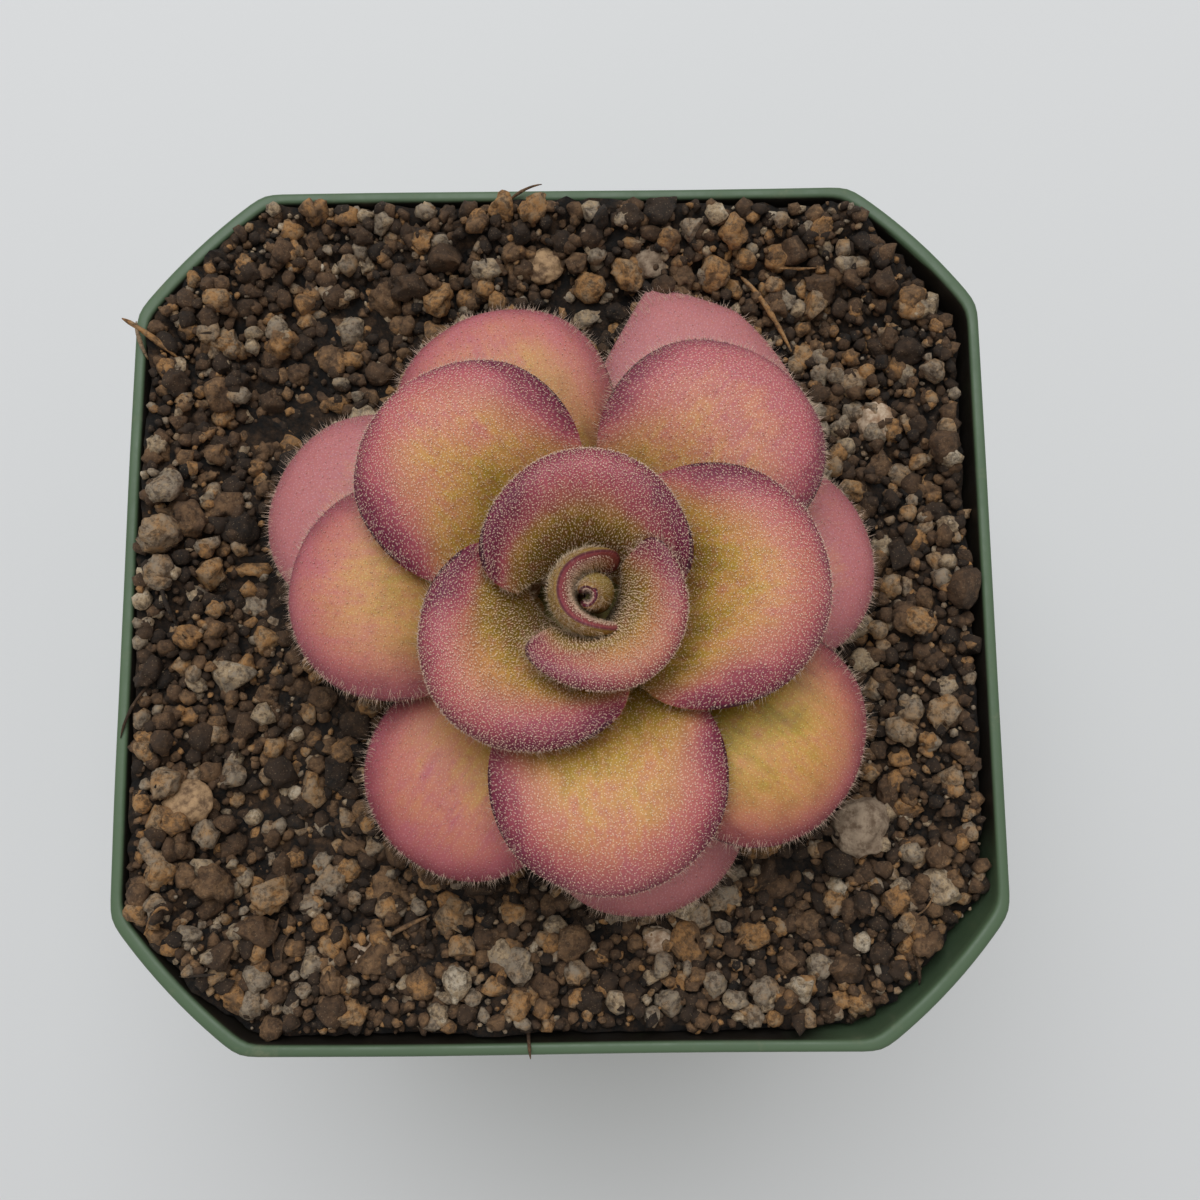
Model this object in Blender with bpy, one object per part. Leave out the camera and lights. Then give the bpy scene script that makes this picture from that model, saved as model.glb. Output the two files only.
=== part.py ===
# A butterwort: a rosette of thick round leaves growing in a square nursery pot.
# Metres, +Z up. The origin is under the middle of the pot, on the surface that it stands on.
# The leaves are numbered from the middle outwards, in the order of their growth: leaf_01 is the
# rolled bud leaf, and each older leaf stands one golden angle further round and a little lower.

import math

import bmesh
import bpy
import numpy as np
from mathutils import Vector, noise

MM = 0.001
GAP = 0.3 * MM                   # left between pieces that touch

# Pot
POT_WIDTH = 76.0 * MM            # across two opposite sides, outside, at the rim
POT_HEIGHT = 76.0 * MM
POT_CORNER_CUT = 0.148           # share of the width that each cut corner takes from a side
POT_CORNER_BOW = 0.009           # share of the width by which a cut corner bows out
RIM_THICKNESS = 1.0 * MM
RIM_ROUNDING = 0.3 * MM
LIP_HEIGHT = 8.0 * MM            # thicker band below the rim
LIP_STEP = 0.75 * MM             # how far the band stands proud of the wall below it
WALL_THICKNESS = 0.8 * MM
POT_BASE_WIDTH = 59.0 * MM
FOOT_RING = 5.0 * MM             # width of the flat ring that the pot stands on
FOOT_HEIGHT = 1.5 * MM           # the base inside that ring is raised by this much
FOOT_BEVEL = 0.5 * MM
BASE_THICKNESS = 1.2 * MM
DRAIN_DIAMETER = 6.5 * MM
DRAIN_SPREAD = 14.0 * MM         # from the middle to each outer drain hole, along X and Y
DRAIN_PLACES = ((0, 0), (1, 1), (-1, 1), (-1, -1), (1, -1))
NOTCH_WIDTH = 6.0 * MM           # water leaves through a notch in the foot ring on each side

# Soil
SOIL_TOP = 72.0 * MM             # mean level of the soil, just under the rim
SOIL_LUMP = 0.5 * MM             # height of the lumps of the soil's top
LUMP_SIZE = 3.2 * MM
SOIL_RISE = 2.4 * MM             # the soil lies this much higher along the back and left walls
SOIL_SINK = 1.2 * MM             # and this much lower along the right and front walls
SOIL_WALL_ZONE = 0.66            # share of the half width at which that rise or fall begins
SOIL_CORNER = 1.72               # sum of |x| and |y| over the half width at a cut corner
SOIL_SIDE_STEPS = 6
SOIL_RINGS = 10

# Crown: the short stem that carries the leaves, buried up to its domed top
ROSETTE_X = 2.6 * MM             # the plant stands slightly off the middle of the pot
ROSETTE_Y = -1.0 * MM
CROWN_TOP = 75.6 * MM
CROWN_RADIUS = 6.0 * MM
CROWN_DEPTH = 6.0 * MM
CROWN_SAG = 0.075 / MM           # how fast the crown's top falls away from its middle
CROWN_FOOT_RADIUS = 1.9 * MM
CROWN_NECK = (2.6 * MM, 2.0 * MM)            # radius, and height above the foot
CROWN_SHOULDER = (0.9 * MM, 1.2 * MM)        # inside the edge, and below it
CROWN_SIDES = 20

# Roots
ROOT_COUNT = 5
ROOT_LENGTH = 26.0 * MM          # how deep a root reaches below the crown's foot
ROOT_RADIUS = 0.8 * MM
ROOT_TAPER = 0.6                 # share of its radius that a root loses towards its tip
ROOT_START = 3.2 * MM            # from the rosette's axis to where a root begins
ROOT_SPREAD = 10.0 * MM          # further outwards to its tip
ROOT_SWAY = 1.6 * MM
ROOT_LIFT = 1.4 * MM             # a root begins this far above the crown's foot
ROOT_STEPS = 7
ROOT_SIDES = 8

# Leaves
GOLDEN_ANGLE = 137.5             # degrees from each leaf to the next older one
FIRST_AZIMUTH = 30.0             # degrees, of the innermost leaf
LEAF_SPACING = 1.25 * MM         # leaf bases sit on a spiral of radius spacing x sqrt(age)
LEAF_THICKNESS = 1.5 * MM
LEAF_BASE_THICKNESS = 0.7 * MM
LEAF_EDGE_THICKNESS = 0.3 * MM
STALK_HALF_WIDTH = 1.35 * MM
LEAF_LIFT = 0.4 * MM             # the foot of each leaf stands this far off the crown
LEAF_RINGS = 5
LEAF_SIDES = 18
RING_CROWDING = 1.35             # draws the rings of a leaf's mesh together towards its margin
FIRST_BLADE_AGE = 2              # leaves older than the two in the bud
BLADE_COUNT = 17                 # steps from the youngest blade to the oldest

# Midrib of a blade: a curve that rises from the crown and droops at the tip. The young blades
# stand nearly upright, the old ones lie out flat.
YOUNG_RISE = 88.0                # degrees above the horizon where the midrib leaves the crown
OLD_RISE = 22.0
YOUNG_DROOP = -72.0              # degrees at the tip
OLD_DROOP = -22.0
BASE_HANDLE = 0.85               # share of the height gained
TIP_HANDLE = 0.42                # share of the way out
TIP_HANDLE_MORE = 1.4 * MM
PILLOW = (0.5 * MM, 0.9 * MM)    # how far the margin rolls down, and what age adds to it
PILLOW_AGE = 4.0                 # steps from the youngest blade to a fully rolled margin

# One row per blade, from the bud outwards: how far the azimuth strays from the spiral (degrees),
# reach of the tip from the rosette's axis (mm), radius of the round end (mm), greatest half
# width (mm), furthest that the sides wrap round the axis (degrees), height of the tip (mm).
BLADES = (
    ("leaf_03_cupped", 6.0, 8.3, 6.7, 9.0, 104.0, 89.9),
    ("leaf_04_cupped", 6.0, 11.2, 7.9, 9.0, 104.0, 89.3),
    ("leaf_05_cupped", 1.0, 14.7, 8.6, 9.5, 98.0, 88.3),
    ("leaf_06", 6.0, 19.9, 9.8, 10.5, 92.0, 87.0),
    ("leaf_07", -2.5, 23.4, 9.4, 10.5, 90.0, 86.2),
    ("leaf_08", 4.0, 24.2, 9.6, 10.5, 90.0, 85.2),
    ("leaf_09", 0.0, 25.9, 9.6, 10.5, 90.0, 84.2),
    ("leaf_10", -10.5, 25.2, 9.1, 10.5, 90.0, 83.0),
    ("leaf_11", -3.5, 27.0, 9.5, 10.5, 90.0, 82.0),
    ("leaf_12", 9.5, 27.9, 9.7, 10.5, 90.0, 80.9),
    ("leaf_13", -5.0, 26.7, 9.2, 10.5, 90.0, 79.8),
    ("leaf_14", -4.5, 25.9, 9.2, 10.5, 90.0, 78.2),
    ("leaf_15", 1.0, 30.4, 9.4, 10.5, 90.0, 77.0),
    ("leaf_16", -8.5, 27.2, 9.4, 10.5, 90.0, 76.0),
    ("leaf_17_blunt", -6.5, 31.6, 25.0, 9.3, 90.0, 75.4),
    ("leaf_18_old", 0.0, 17.0, 6.5, 10.0, 90.0, 75.2),
    ("leaf_19_old", 0.0, 19.0, 7.2, 10.0, 90.0, 74.3),
    ("leaf_20_old", 0.0, 19.0, 7.2, 10.0, 90.0, 73.7),
)

# The two rolled leaves in the middle: azimuth, radius of the mouth, of the belly below it and
# of the base (mm), half angle of the roll (degrees), shift of its own axis (mm), mouth height
# (mm), and how much wider the roll is at its two sides than at its midrib.
BUDS = (
    ("leaf_01_bud", 35.0, 0.85, 1.2, 0.6, 135.0, 0.0, 90.4, 0.0),
    ("leaf_02_funnel", 182.0, 2.2, 2.1, 1.2, 130.0, -0.2, 90.2, 0.08),
)
BUD_THINNESS = 0.45              # the two rolled leaves have this share of a blade's thickness
BUD_BELLY = ((1.05, 0.35), (1.1, 0.8))       # handles: share of the belly, share of the height

# Larger grains of the mix that lie loose on top: place from the pot's middle and size (mm).
STONES = (
    ("stone_pumice_1", 26.5, -20.0, 5.4, "pumice"),
    ("stone_pumice_2", 8.6, 31.6, 3.2, "pumice"),
    ("stone_quartz_1", -16.2, -30.4, 4.2, "quartz"),
    ("stone_quartz_2", 8.5, -29.4, 3.0, "quartz"),
    ("stone_quartz_3", 27.0, -25.1, 2.9, "quartz"),
    ("stone_quartz_4", 29.3, 16.8, 3.7, "quartz"),
    ("stone_amber_1", -28.9, -30.4, 4.1, "amber"),
    ("stone_amber_2", 34.2, -15.4, 3.1, "amber"),
    ("stone_tan_1", -32.0, -17.1, 4.4, "tan"),
    ("stone_tan_2", -1.1, 31.4, 3.2, "tan"),
)
STONE_SHAPE = (1.0, 0.84, 0.7)   # length, width and height
STONE_LUMP = 0.22                # share of a stone's size that its lumps stand out
STONE_LUMP_SIZE = 0.3
STONE_TURN = 1.1                 # radians from each stone's direction to the next one's
STONE_SEAT = 0.8 * MM            # clear of the soil below it, whose lumps would touch it


def clear_scene():
    for item in list(bpy.data.objects):
        bpy.data.objects.remove(item, do_unlink=True)


def make_material(name, colour, roughness):
    material = bpy.data.materials.new(name)
    material.use_nodes = True
    shader = material.node_tree.nodes["Principled BSDF"]
    shader.inputs["Base Color"].default_value = (*colour, 1.0)
    shader.inputs["Roughness"].default_value = roughness
    shader.inputs["Metallic"].default_value = 0.0
    return material


def add_object(name, points, faces, material, smooth_angle):
    """Mesh object from points and faces, smooth up to an angle in degrees between faces."""
    mesh = bpy.data.meshes.new(name)
    mesh.from_pydata([tuple(float(c) for c in p) for p in points], [], faces)
    mesh.update()
    mesh.materials.append(material)
    mesh.shade_smooth()
    mesh.set_sharp_from_angle(angle=math.radians(smooth_angle))
    body = bpy.data.objects.new(name, mesh)
    bpy.context.collection.objects.link(body)
    return body


def smooth_step(value, low, high):
    """0 up to low, 1 from high, and an even S curve between them."""
    t = np.clip((value - low) / (high - low), 0.0, 1.0)
    return t * t * (3 - 2 * t)


def ring_faces(first, second, count):
    """Quads between two rings of points, given the index of the first point of each."""
    faces = []
    for i in range(count):
        j = (i + 1) % count
        faces.append((first + i, first + j, second + j, second + i))
    return faces


def fan_faces(tip, first, count):
    """Triangles from one point to a ring, turning the same way as the ring."""
    return [(tip, first + i, first + (i + 1) % count) for i in range(count)]


def reversed_faces(faces):
    return [tuple(reversed(face)) for face in faces]


def cut(body, cutters):
    """Boolean differences, with each cutter kept as a hidden wire guide."""
    for cutter in cutters:
        modifier = body.modifiers.new("cut_" + cutter.name, "BOOLEAN")
        modifier.operation = "DIFFERENCE"
        modifier.solver = "EXACT"
        modifier.object = cutter
        cutter.hide_render = True
        cutter.display_type = "WIRE"


def square_outline(half, side_steps=1, corner_steps=4):
    """Outline of the pot at one level: a square whose cut corners bow out a little."""
    points = []
    corner_cut = POT_CORNER_CUT * 2 * half
    bow = POT_CORNER_BOW * 2 * half
    start = Vector((half, half - corner_cut))
    end = Vector((half - corner_cut, half))
    next_start = Vector((corner_cut - half, half))
    outward = Vector((1.0, 1.0)).normalized()
    quarter = []
    for i in range(corner_steps + 1):
        t = i / corner_steps
        quarter.append(start.lerp(end, t) + outward * (4 * bow * t * (1 - t)))
    for i in range(1, side_steps):
        quarter.append(end.lerp(next_start, i / side_steps))
    for side in range(4):
        turn = side * math.pi / 2
        for p in quarter:
            points.append((p.x * math.cos(turn) - p.y * math.sin(turn),
                           p.x * math.sin(turn) + p.y * math.cos(turn)))
    return points


def inner_half(height):
    """Half width of the pot's inside at a height."""
    top = POT_WIDTH / 2 - RIM_THICKNESS
    low = POT_BASE_WIDTH / 2 - WALL_THICKNESS
    return low + (top - low) * height / POT_HEIGHT


def pot_shell(material):
    """The pot's wall, lip, foot and base: one outline carried through (half width, height)."""
    lip_low = POT_HEIGHT - LIP_HEIGHT
    outer_at_lip = inner_half(lip_low) + WALL_THICKNESS
    foot_inner = POT_BASE_WIDTH / 2 - FOOT_RING
    floor = FOOT_HEIGHT + BASE_THICKNESS
    levels = (
        (foot_inner, FOOT_HEIGHT),
        (foot_inner + FOOT_BEVEL, 0.0),
        (POT_BASE_WIDTH / 2 - FOOT_BEVEL, 0.0),
        (POT_BASE_WIDTH / 2, FOOT_BEVEL),
        (outer_at_lip, lip_low),
        (outer_at_lip + LIP_STEP, lip_low + RIM_ROUNDING),
        (POT_WIDTH / 2, POT_HEIGHT - RIM_ROUNDING),
        (POT_WIDTH / 2 - RIM_ROUNDING, POT_HEIGHT),
        (inner_half(POT_HEIGHT) + RIM_ROUNDING, POT_HEIGHT),
        (inner_half(POT_HEIGHT - RIM_ROUNDING), POT_HEIGHT - RIM_ROUNDING),
        (inner_half(floor), floor),
    )
    points = []
    for half, height in levels:
        points += [(x, y, height) for x, y in square_outline(half)]
    count = len(points) // len(levels)
    last = (len(levels) - 1) * count
    faces = [tuple(reversed(range(count)))]
    for k in range(len(levels) - 1):
        faces += ring_faces(k * count, (k + 1) * count, count)
    faces.append(tuple(range(last, last + count)))
    return add_object("pot", points, faces, material, 30)


def make_pot(material):
    pot = pot_shell(material)
    cutters = []
    for i, (x, y) in enumerate(DRAIN_PLACES):
        bpy.ops.mesh.primitive_cylinder_add(
            vertices=20, radius=DRAIN_DIAMETER / 2, depth=4 * BASE_THICKNESS,
            location=(x * DRAIN_SPREAD, y * DRAIN_SPREAD, FOOT_HEIGHT + BASE_THICKNESS / 2))
        hole = bpy.context.object
        hole.name = "drain_cutter_%d" % (i + 1)
        cutters.append(hole)
    reach = POT_BASE_WIDTH / 2 - FOOT_RING / 2
    for i in range(4):
        turn = i * math.pi / 2
        bpy.ops.mesh.primitive_cube_add(
            size=1.0, location=(reach * math.cos(turn), reach * math.sin(turn), 0.0),
            rotation=(0.0, 0.0, turn))
        notch = bpy.context.object
        notch.name = "notch_cutter_%d" % (i + 1)
        notch.scale = (2 * FOOT_RING, NOTCH_WIDTH, 1.4 * FOOT_HEIGHT)
        cutters.append(notch)
    cut(pot, cutters)


def soil_height(x, y):
    """Height of the soil's top: it lies up against the back and left walls, and has sunk
    away from the right and front ones. Lumps cover it, and each loose stone has its dip."""
    half = inner_half(POT_HEIGHT)
    wall = max(abs(x), abs(y), (abs(x) + abs(y)) / SOIL_CORNER) / half
    near_wall = smooth_step(wall, SOIL_WALL_ZONE, 1.0)
    sunken = smooth_step((x - y) / half, -0.25, 0.25)
    level = SOIL_TOP + near_wall * (SOIL_RISE * (1 - sunken) - SOIL_SINK * sunken)
    height = level + SOIL_LUMP * noise.noise(Vector((x, y, 0.0)) / LUMP_SIZE)
    for _, stone_x, stone_y, size, _ in STONES:
        if math.hypot(x - stone_x * MM, y - stone_y * MM) < size * MM:
            height = min(height, level - SOIL_LUMP)
    return height


def crown_height(radius):
    """Height of the crown's domed top at a distance from the rosette's axis."""
    return CROWN_TOP - CROWN_SAG * radius * radius


def turned(name, profile, material):
    """Closed body turned about the rosette's axis from (radius, height) pairs, low end first."""
    points = [(ROSETTE_X, ROSETTE_Y, profile[0][1])]
    for radius, height in profile[1:-1]:
        for i in range(CROWN_SIDES):
            angle = 2 * math.pi * i / CROWN_SIDES
            points.append((ROSETTE_X + radius * math.cos(angle),
                           ROSETTE_Y + radius * math.sin(angle), height))
    points.append((ROSETTE_X, ROSETTE_Y, profile[-1][1]))
    last = len(points) - 1
    faces = reversed_faces(fan_faces(0, 1, CROWN_SIDES))
    for first in range(1, last - CROWN_SIDES, CROWN_SIDES):
        faces += ring_faces(first, first + CROWN_SIDES, CROWN_SIDES)
    faces += fan_faces(last, last - CROWN_SIDES, CROWN_SIDES)
    return add_object(name, points, faces, material, 40)


def crown_side(clearance):
    """Outline of the crown's buried side, or of the pocket in the soil around it."""
    rim = crown_height(CROWN_RADIUS)
    low = rim - CROWN_DEPTH
    neck_radius, neck_height = CROWN_NECK
    shoulder_in, shoulder_down = CROWN_SHOULDER
    return [
        (0.0, low - clearance),
        (CROWN_FOOT_RADIUS + clearance, low - clearance),
        (neck_radius + clearance, low + neck_height),
        (CROWN_RADIUS - shoulder_in + clearance, rim - shoulder_down),
        (CROWN_RADIUS + clearance, rim),
    ]


def make_crown(material):
    profile = crown_side(0.0)
    for share in (0.75, 0.4, 0.0):
        radius = CROWN_RADIUS * share
        profile.append((radius, crown_height(radius)))
    turned("crown", profile, material)


def root_path(index):
    """Centre line of one root: out of the side of the crown's foot, then bending down."""
    turn = 2 * math.pi * (index + 0.3) / ROOT_COUNT
    top = crown_height(CROWN_RADIUS) - CROWN_DEPTH + ROOT_LIFT
    path = []
    for i in range(ROOT_STEPS + 1):
        t = i / ROOT_STEPS
        out = ROOT_START + ROOT_SPREAD * math.sin(t * math.pi / 2)
        sway = ROOT_SWAY * math.sin(3.0 * t + index)
        path.append(Vector((
            ROSETTE_X + out * math.cos(turn) - sway * math.sin(turn),
            ROSETTE_Y + out * math.sin(turn) + sway * math.cos(turn),
            top - ROOT_LENGTH * t ** 1.6)))
    return path


def tapered_tube(name, path, clearance, material):
    """Root along a path, thinner towards its tip and closed at both ends."""
    points = []
    for i, p in enumerate(path):
        ahead = path[min(i + 1, len(path) - 1)] - path[max(i - 1, 0)]
        across = Vector((0.0, 0.0, 1.0)).cross(ahead).normalized()
        up = ahead.normalized().cross(across)
        radius = ROOT_RADIUS * (1 - ROOT_TAPER * i / (len(path) - 1)) + clearance
        for j in range(ROOT_SIDES):
            angle = 2 * math.pi * j / ROOT_SIDES
            points.append(p + radius * (math.cos(angle) * across + math.sin(angle) * up))
    last = len(points) - ROOT_SIDES
    faces = [tuple(reversed(range(ROOT_SIDES)))]
    for first in range(0, last, ROOT_SIDES):
        faces += ring_faces(first, first + ROOT_SIDES, ROOT_SIDES)
    faces.append(tuple(range(last, last + ROOT_SIDES)))
    return add_object(name, points, faces, material, 50)


def make_roots(material):
    for index in range(ROOT_COUNT):
        tapered_tube("root_%d" % (index + 1), root_path(index), 0.0, material)


def soil_block(material):
    """The mix as a block: the pot's inside less a gap, under rings that follow its top."""
    outline = square_outline(1.0, SOIL_SIDE_STEPS)
    count = len(outline)
    floor = FOOT_HEIGHT + BASE_THICKNESS + GAP
    foot_half = inner_half(floor) - GAP
    points = [(x * foot_half, y * foot_half, floor) for x, y in outline]
    for x, y in outline:
        half = inner_half(SOIL_TOP) - GAP
        height = soil_height(x * half, y * half)
        half = inner_half(height) - GAP
        points.append((x * half, y * half, height))
    for k in range(1, SOIL_RINGS + 1):
        half = (inner_half(SOIL_TOP) - GAP) * (1 - k / (SOIL_RINGS + 1))
        points += [(x * half, y * half, soil_height(x * half, y * half)) for x, y in outline]
    points.append((0.0, 0.0, soil_height(0.0, 0.0)))
    last = len(points) - 1
    faces = [tuple(reversed(range(count)))]
    for first in range(0, last - count, count):
        faces += ring_faces(first, first + count, count)
    faces += fan_faces(last, last - count, count)
    return add_object("soil", points, faces, material, 30)


def make_soil(material):
    """The soil block, less a pocket for the crown and a channel for each root."""
    soil = soil_block(material)
    clearance = 1.2 * GAP
    above = POT_HEIGHT + LIP_HEIGHT
    pocket = crown_side(clearance) + [(CROWN_RADIUS + clearance, above), (0.0, above)]
    cutters = [turned("pocket_cutter", pocket, material)]
    for index in range(ROOT_COUNT):
        path = root_path(index)
        path[0] = path[0] + (path[0] - path[1]) * 0.8
        path[-1] = path[-1] + (path[-1] - path[-2]).normalized() * clearance
        cutters.append(tapered_tube("channel_cutter_%d" % (index + 1), path, clearance, material))
    cut(soil, cutters)


def bezier(points, t):
    """Cubic curve through its two end points, with two handles."""
    a, b, c, d = [np.array(p) for p in points]
    t = t[..., None]
    return (1 - t) ** 3 * a + 3 * (1 - t) ** 2 * t * b + 3 * (1 - t) * t ** 2 * c + t ** 3 * d


def blade_rib(age, reach, tip_height):
    """Ends and handles of a blade's midrib in the plane (distance from the axis, height)."""
    base = LEAF_SPACING * math.sqrt(age + 0.5)
    low = crown_height(base) + LEAF_LIFT
    spread = min(1.0, (age - FIRST_BLADE_AGE) / BLADE_COUNT)
    rise = math.radians(YOUNG_RISE + (OLD_RISE - YOUNG_RISE) * spread ** 0.75)
    droop = math.radians(YOUNG_DROOP + (OLD_DROOP - YOUNG_DROOP) * spread ** 0.6)
    first = BASE_HANDLE * (tip_height - low) / max(0.45, math.sin(rise))
    second = TIP_HANDLE * (reach - base) + TIP_HANDLE_MORE
    return (
        (base, low),
        (base + first * math.cos(rise), low + first * math.sin(rise)),
        (reach - second * math.cos(droop), tip_height - second * math.sin(droop)),
        (reach, tip_height),
    )


def unit_disc():
    """Rings of the unit disc from its middle outwards, as arrays (ring, point on the ring)."""
    ring = 1 - (1 - np.arange(LEAF_RINGS + 1) / LEAF_RINGS) ** RING_CROWDING
    angle = 2 * np.pi * np.arange(LEAF_SIDES) / LEAF_SIDES
    return ring[:, None] * np.cos(angle), ring[:, None] * np.sin(angle)


def leaf_surface(rib, half_angle, shift, pillow, flare):
    """Points and normals of a leaf's middle layer over the unit disc, and its thickness.

    p runs along the leaf from base to tip, q across it. The midrib is carried round the
    axis by an angle q / sqrt(1 - p^2) times the half angle at that point of the midrib,
    and the margin is rolled down along the normal.
    """
    p, q = unit_disc()
    along = 0.5 * (0.5 + 0.5 * np.sin(0.5 * np.pi * p)) + 0.25 * (p + 1)
    point = bezier(rib, along)
    ahead = bezier(rib, np.minimum(along + 1e-3, 1.0)) - bezier(rib, np.maximum(along - 1e-3, 0.0))
    ahead = ahead / np.linalg.norm(ahead, axis=-1, keepdims=True)
    across = np.clip(q / np.sqrt(np.maximum(1e-6, 1 - p * p)), -1, 1)
    around = across * half_angle(point[..., 0], along)
    radius = point[..., 0] * (1 + flare * across ** 4 * smooth_step(along, 0.3, 0.9))
    normal = np.stack([-ahead[..., 1] * np.cos(around), -ahead[..., 1] * np.sin(around),
                       ahead[..., 0]], axis=-1)
    middle = np.stack([radius * np.cos(around) + shift, radius * np.sin(around),
                       point[..., 1]], axis=-1)
    ring = np.hypot(p, q)
    roll = smooth_step(along, 0.2, 0.65) * (0.45 * ring ** 2 + 0.55 * ring ** 5)
    middle = middle - normal * (pillow * roll)[..., None]
    full = LEAF_BASE_THICKNESS + (LEAF_THICKNESS - LEAF_BASE_THICKNESS) * smooth_step(
        along, 0.15, 0.6)
    plump = np.sqrt(np.maximum(0.0, 1 - ring ** 2.5))
    thickness = LEAF_EDGE_THICKNESS + (full - LEAF_EDGE_THICKNESS) * plump
    return middle, normal, thickness


def leaf_body(name, azimuth, surface, material):
    """Closed body of a leaf, turned to its azimuth about the rosette's axis."""
    middle, normal, thickness = surface
    upper = middle + normal * thickness[..., None] / 2
    lower = middle - normal * thickness[..., None] / 2
    points = np.vstack([upper[0, :1], *upper[1:], *lower[:0:-1], lower[0, :1]])
    turn = math.radians(azimuth)
    x = points[:, 0] * math.cos(turn) - points[:, 1] * math.sin(turn) + ROSETTE_X
    y = points[:, 0] * math.sin(turn) + points[:, 1] * math.cos(turn) + ROSETTE_Y
    points = np.stack([x, y, points[:, 2]], axis=1)
    last = len(points) - 1
    faces = fan_faces(0, 1, LEAF_SIDES)
    for first in range(1, last - LEAF_SIDES, LEAF_SIDES):
        faces += reversed_faces(ring_faces(first, first + LEAF_SIDES, LEAF_SIDES))
    faces += reversed_faces(fan_faces(last, last - LEAF_SIDES, LEAF_SIDES))
    add_object(name, points, faces, material, 60)


def blade_half_angle(reach, end_radius, half_width, wing):
    """Half angle of a blade at each point of its midrib.

    Seen from above the blade's end is a circle, its sides are no wider than the half width
    and wrap round the axis no further than the wing angle, and its foot is a narrow stalk.
    The tightest of the three limits holds, with soft changes from one to the next.
    """
    centre = reach - end_radius

    def half_angle(radius, along):
        cosine = (radius ** 2 + centre ** 2 - end_radius ** 2) / (2 * radius * centre)
        disc = np.arccos(np.clip(cosine, -1.0, 1.0))
        side = np.arcsin(np.clip(half_width / radius, 0.0, 1.0))
        wrap = math.radians(wing) * smooth_step(along, -0.1, 0.5)
        side = np.minimum(side, wrap)
        blade = (np.maximum(disc, 1e-4) ** -7.0 + np.maximum(side, 1e-4) ** -7.0) ** (-1 / 7.0)
        stalk = STALK_HALF_WIDTH * (1 + smooth_step(along, 0.05, 0.45)) / radius
        stalk = stalk * (1 - smooth_step(along, 0.35, 0.75))
        foot = np.sqrt(np.clip(along / 0.06, 0.0, 1.0))
        return foot * (blade ** 4 + stalk ** 4) ** 0.25

    return half_angle


def make_blades(material):
    for index, (name, stray, reach, end_radius, half_width, wing, tip) in enumerate(BLADES):
        age = index + FIRST_BLADE_AGE
        azimuth = FIRST_AZIMUTH + GOLDEN_ANGLE * age + stray
        rib = blade_rib(age, reach * MM, tip * MM)
        half_angle = blade_half_angle(reach * MM, end_radius * MM, half_width * MM, wing)
        pillow = PILLOW[0] + PILLOW[1] * min(1.0, index / PILLOW_AGE)
        leaf_body(name, azimuth, leaf_surface(rib, half_angle, 0.0, pillow, 0.0), material)


def roll_half_angle(roll):
    """Half angle of a rolled leaf: it widens from a narrow foot and closes to a round lip."""

    def half_angle(_, along):
        opening = smooth_step(along, -0.2, 0.6)
        lip = np.sqrt(np.clip(1 - along ** 9, 0.0, 1.0))
        foot = np.sqrt(np.clip(along / 0.06, 0.0, 1.0))
        return math.radians(roll) * opening * lip * foot + 1e-4

    return half_angle


def make_buds(material):
    for name, azimuth, mouth, belly, foot, roll, shift, top, flare in BUDS:
        low = crown_height(foot * MM) + LEAF_LIFT
        height = top * MM - low
        handles = [(belly * MM * wider, low + share * height) for wider, share in BUD_BELLY]
        rib = ((foot * MM, low), *handles, (mouth * MM, top * MM))
        middle, normal, thickness = leaf_surface(
            rib, roll_half_angle(roll), shift * MM, 0.0, flare)
        leaf_body(name, azimuth, (middle, normal, thickness * BUD_THINNESS), material)


def stone_points(index, size):
    """Points of a lumpy pebble about its own middle: a ball with noise on it, flattened."""
    ball = bmesh.new()
    bmesh.ops.create_icosphere(ball, subdivisions=2, radius=size / 2)
    points = []
    for vert in ball.verts:
        place = vert.co / (STONE_LUMP_SIZE * size) + Vector((index * 7.0, 0.0, 0.0))
        lump = 1 + STONE_LUMP * noise.noise(place)
        points.append(vert.co * Vector(STONE_SHAPE) * lump)
    ball.free()
    return points


def make_stones(materials):
    """Each stone is the hull of its points, turned about Z and set down on the soil."""
    for index, (name, x, y, size, kind) in enumerate(STONES):
        points = stone_points(index, size * MM)
        turn = index * STONE_TURN
        low = min(p.z for p in points)
        seat = soil_height(x * MM, y * MM) + STONE_SEAT
        body = bmesh.new()
        for p in points:
            body.verts.new((x * MM + p.x * math.cos(turn) - p.y * math.sin(turn),
                            y * MM + p.x * math.sin(turn) + p.y * math.cos(turn),
                            p.z - low + seat))
        bmesh.ops.convex_hull(body, input=body.verts)
        inside = [v for v in body.verts if not v.link_faces]
        bmesh.ops.delete(body, geom=inside, context="VERTS")
        bmesh.ops.recalc_face_normals(body, faces=body.faces)
        mesh = bpy.data.meshes.new(name)
        body.to_mesh(mesh)
        body.free()
        mesh.materials.append(materials[kind])
        bpy.context.collection.objects.link(bpy.data.objects.new(name, mesh))


def main():
    clear_scene()
    green = make_material("pot_green", (0.05, 0.13, 0.07), 0.5)
    earth = make_material("soil_mix", (0.10, 0.07, 0.05), 0.95)
    flesh = make_material("leaf_flesh", (0.62, 0.30, 0.28), 0.5)
    stem = make_material("crown_flesh", (0.50, 0.52, 0.22), 0.6)
    root = make_material("root_skin", (0.72, 0.66, 0.52), 0.7)
    grit = {
        "pumice": make_material("grit_pumice", (0.62, 0.58, 0.52), 0.9),
        "quartz": make_material("grit_quartz", (0.72, 0.66, 0.58), 0.6),
        "amber": make_material("grit_amber", (0.62, 0.38, 0.18), 0.5),
        "tan": make_material("grit_tan", (0.55, 0.43, 0.30), 0.85),
    }
    make_pot(green)
    make_soil(earth)
    make_crown(stem)
    make_roots(root)
    make_buds(flesh)
    make_blades(flesh)
    make_stones(grit)


main()
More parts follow.
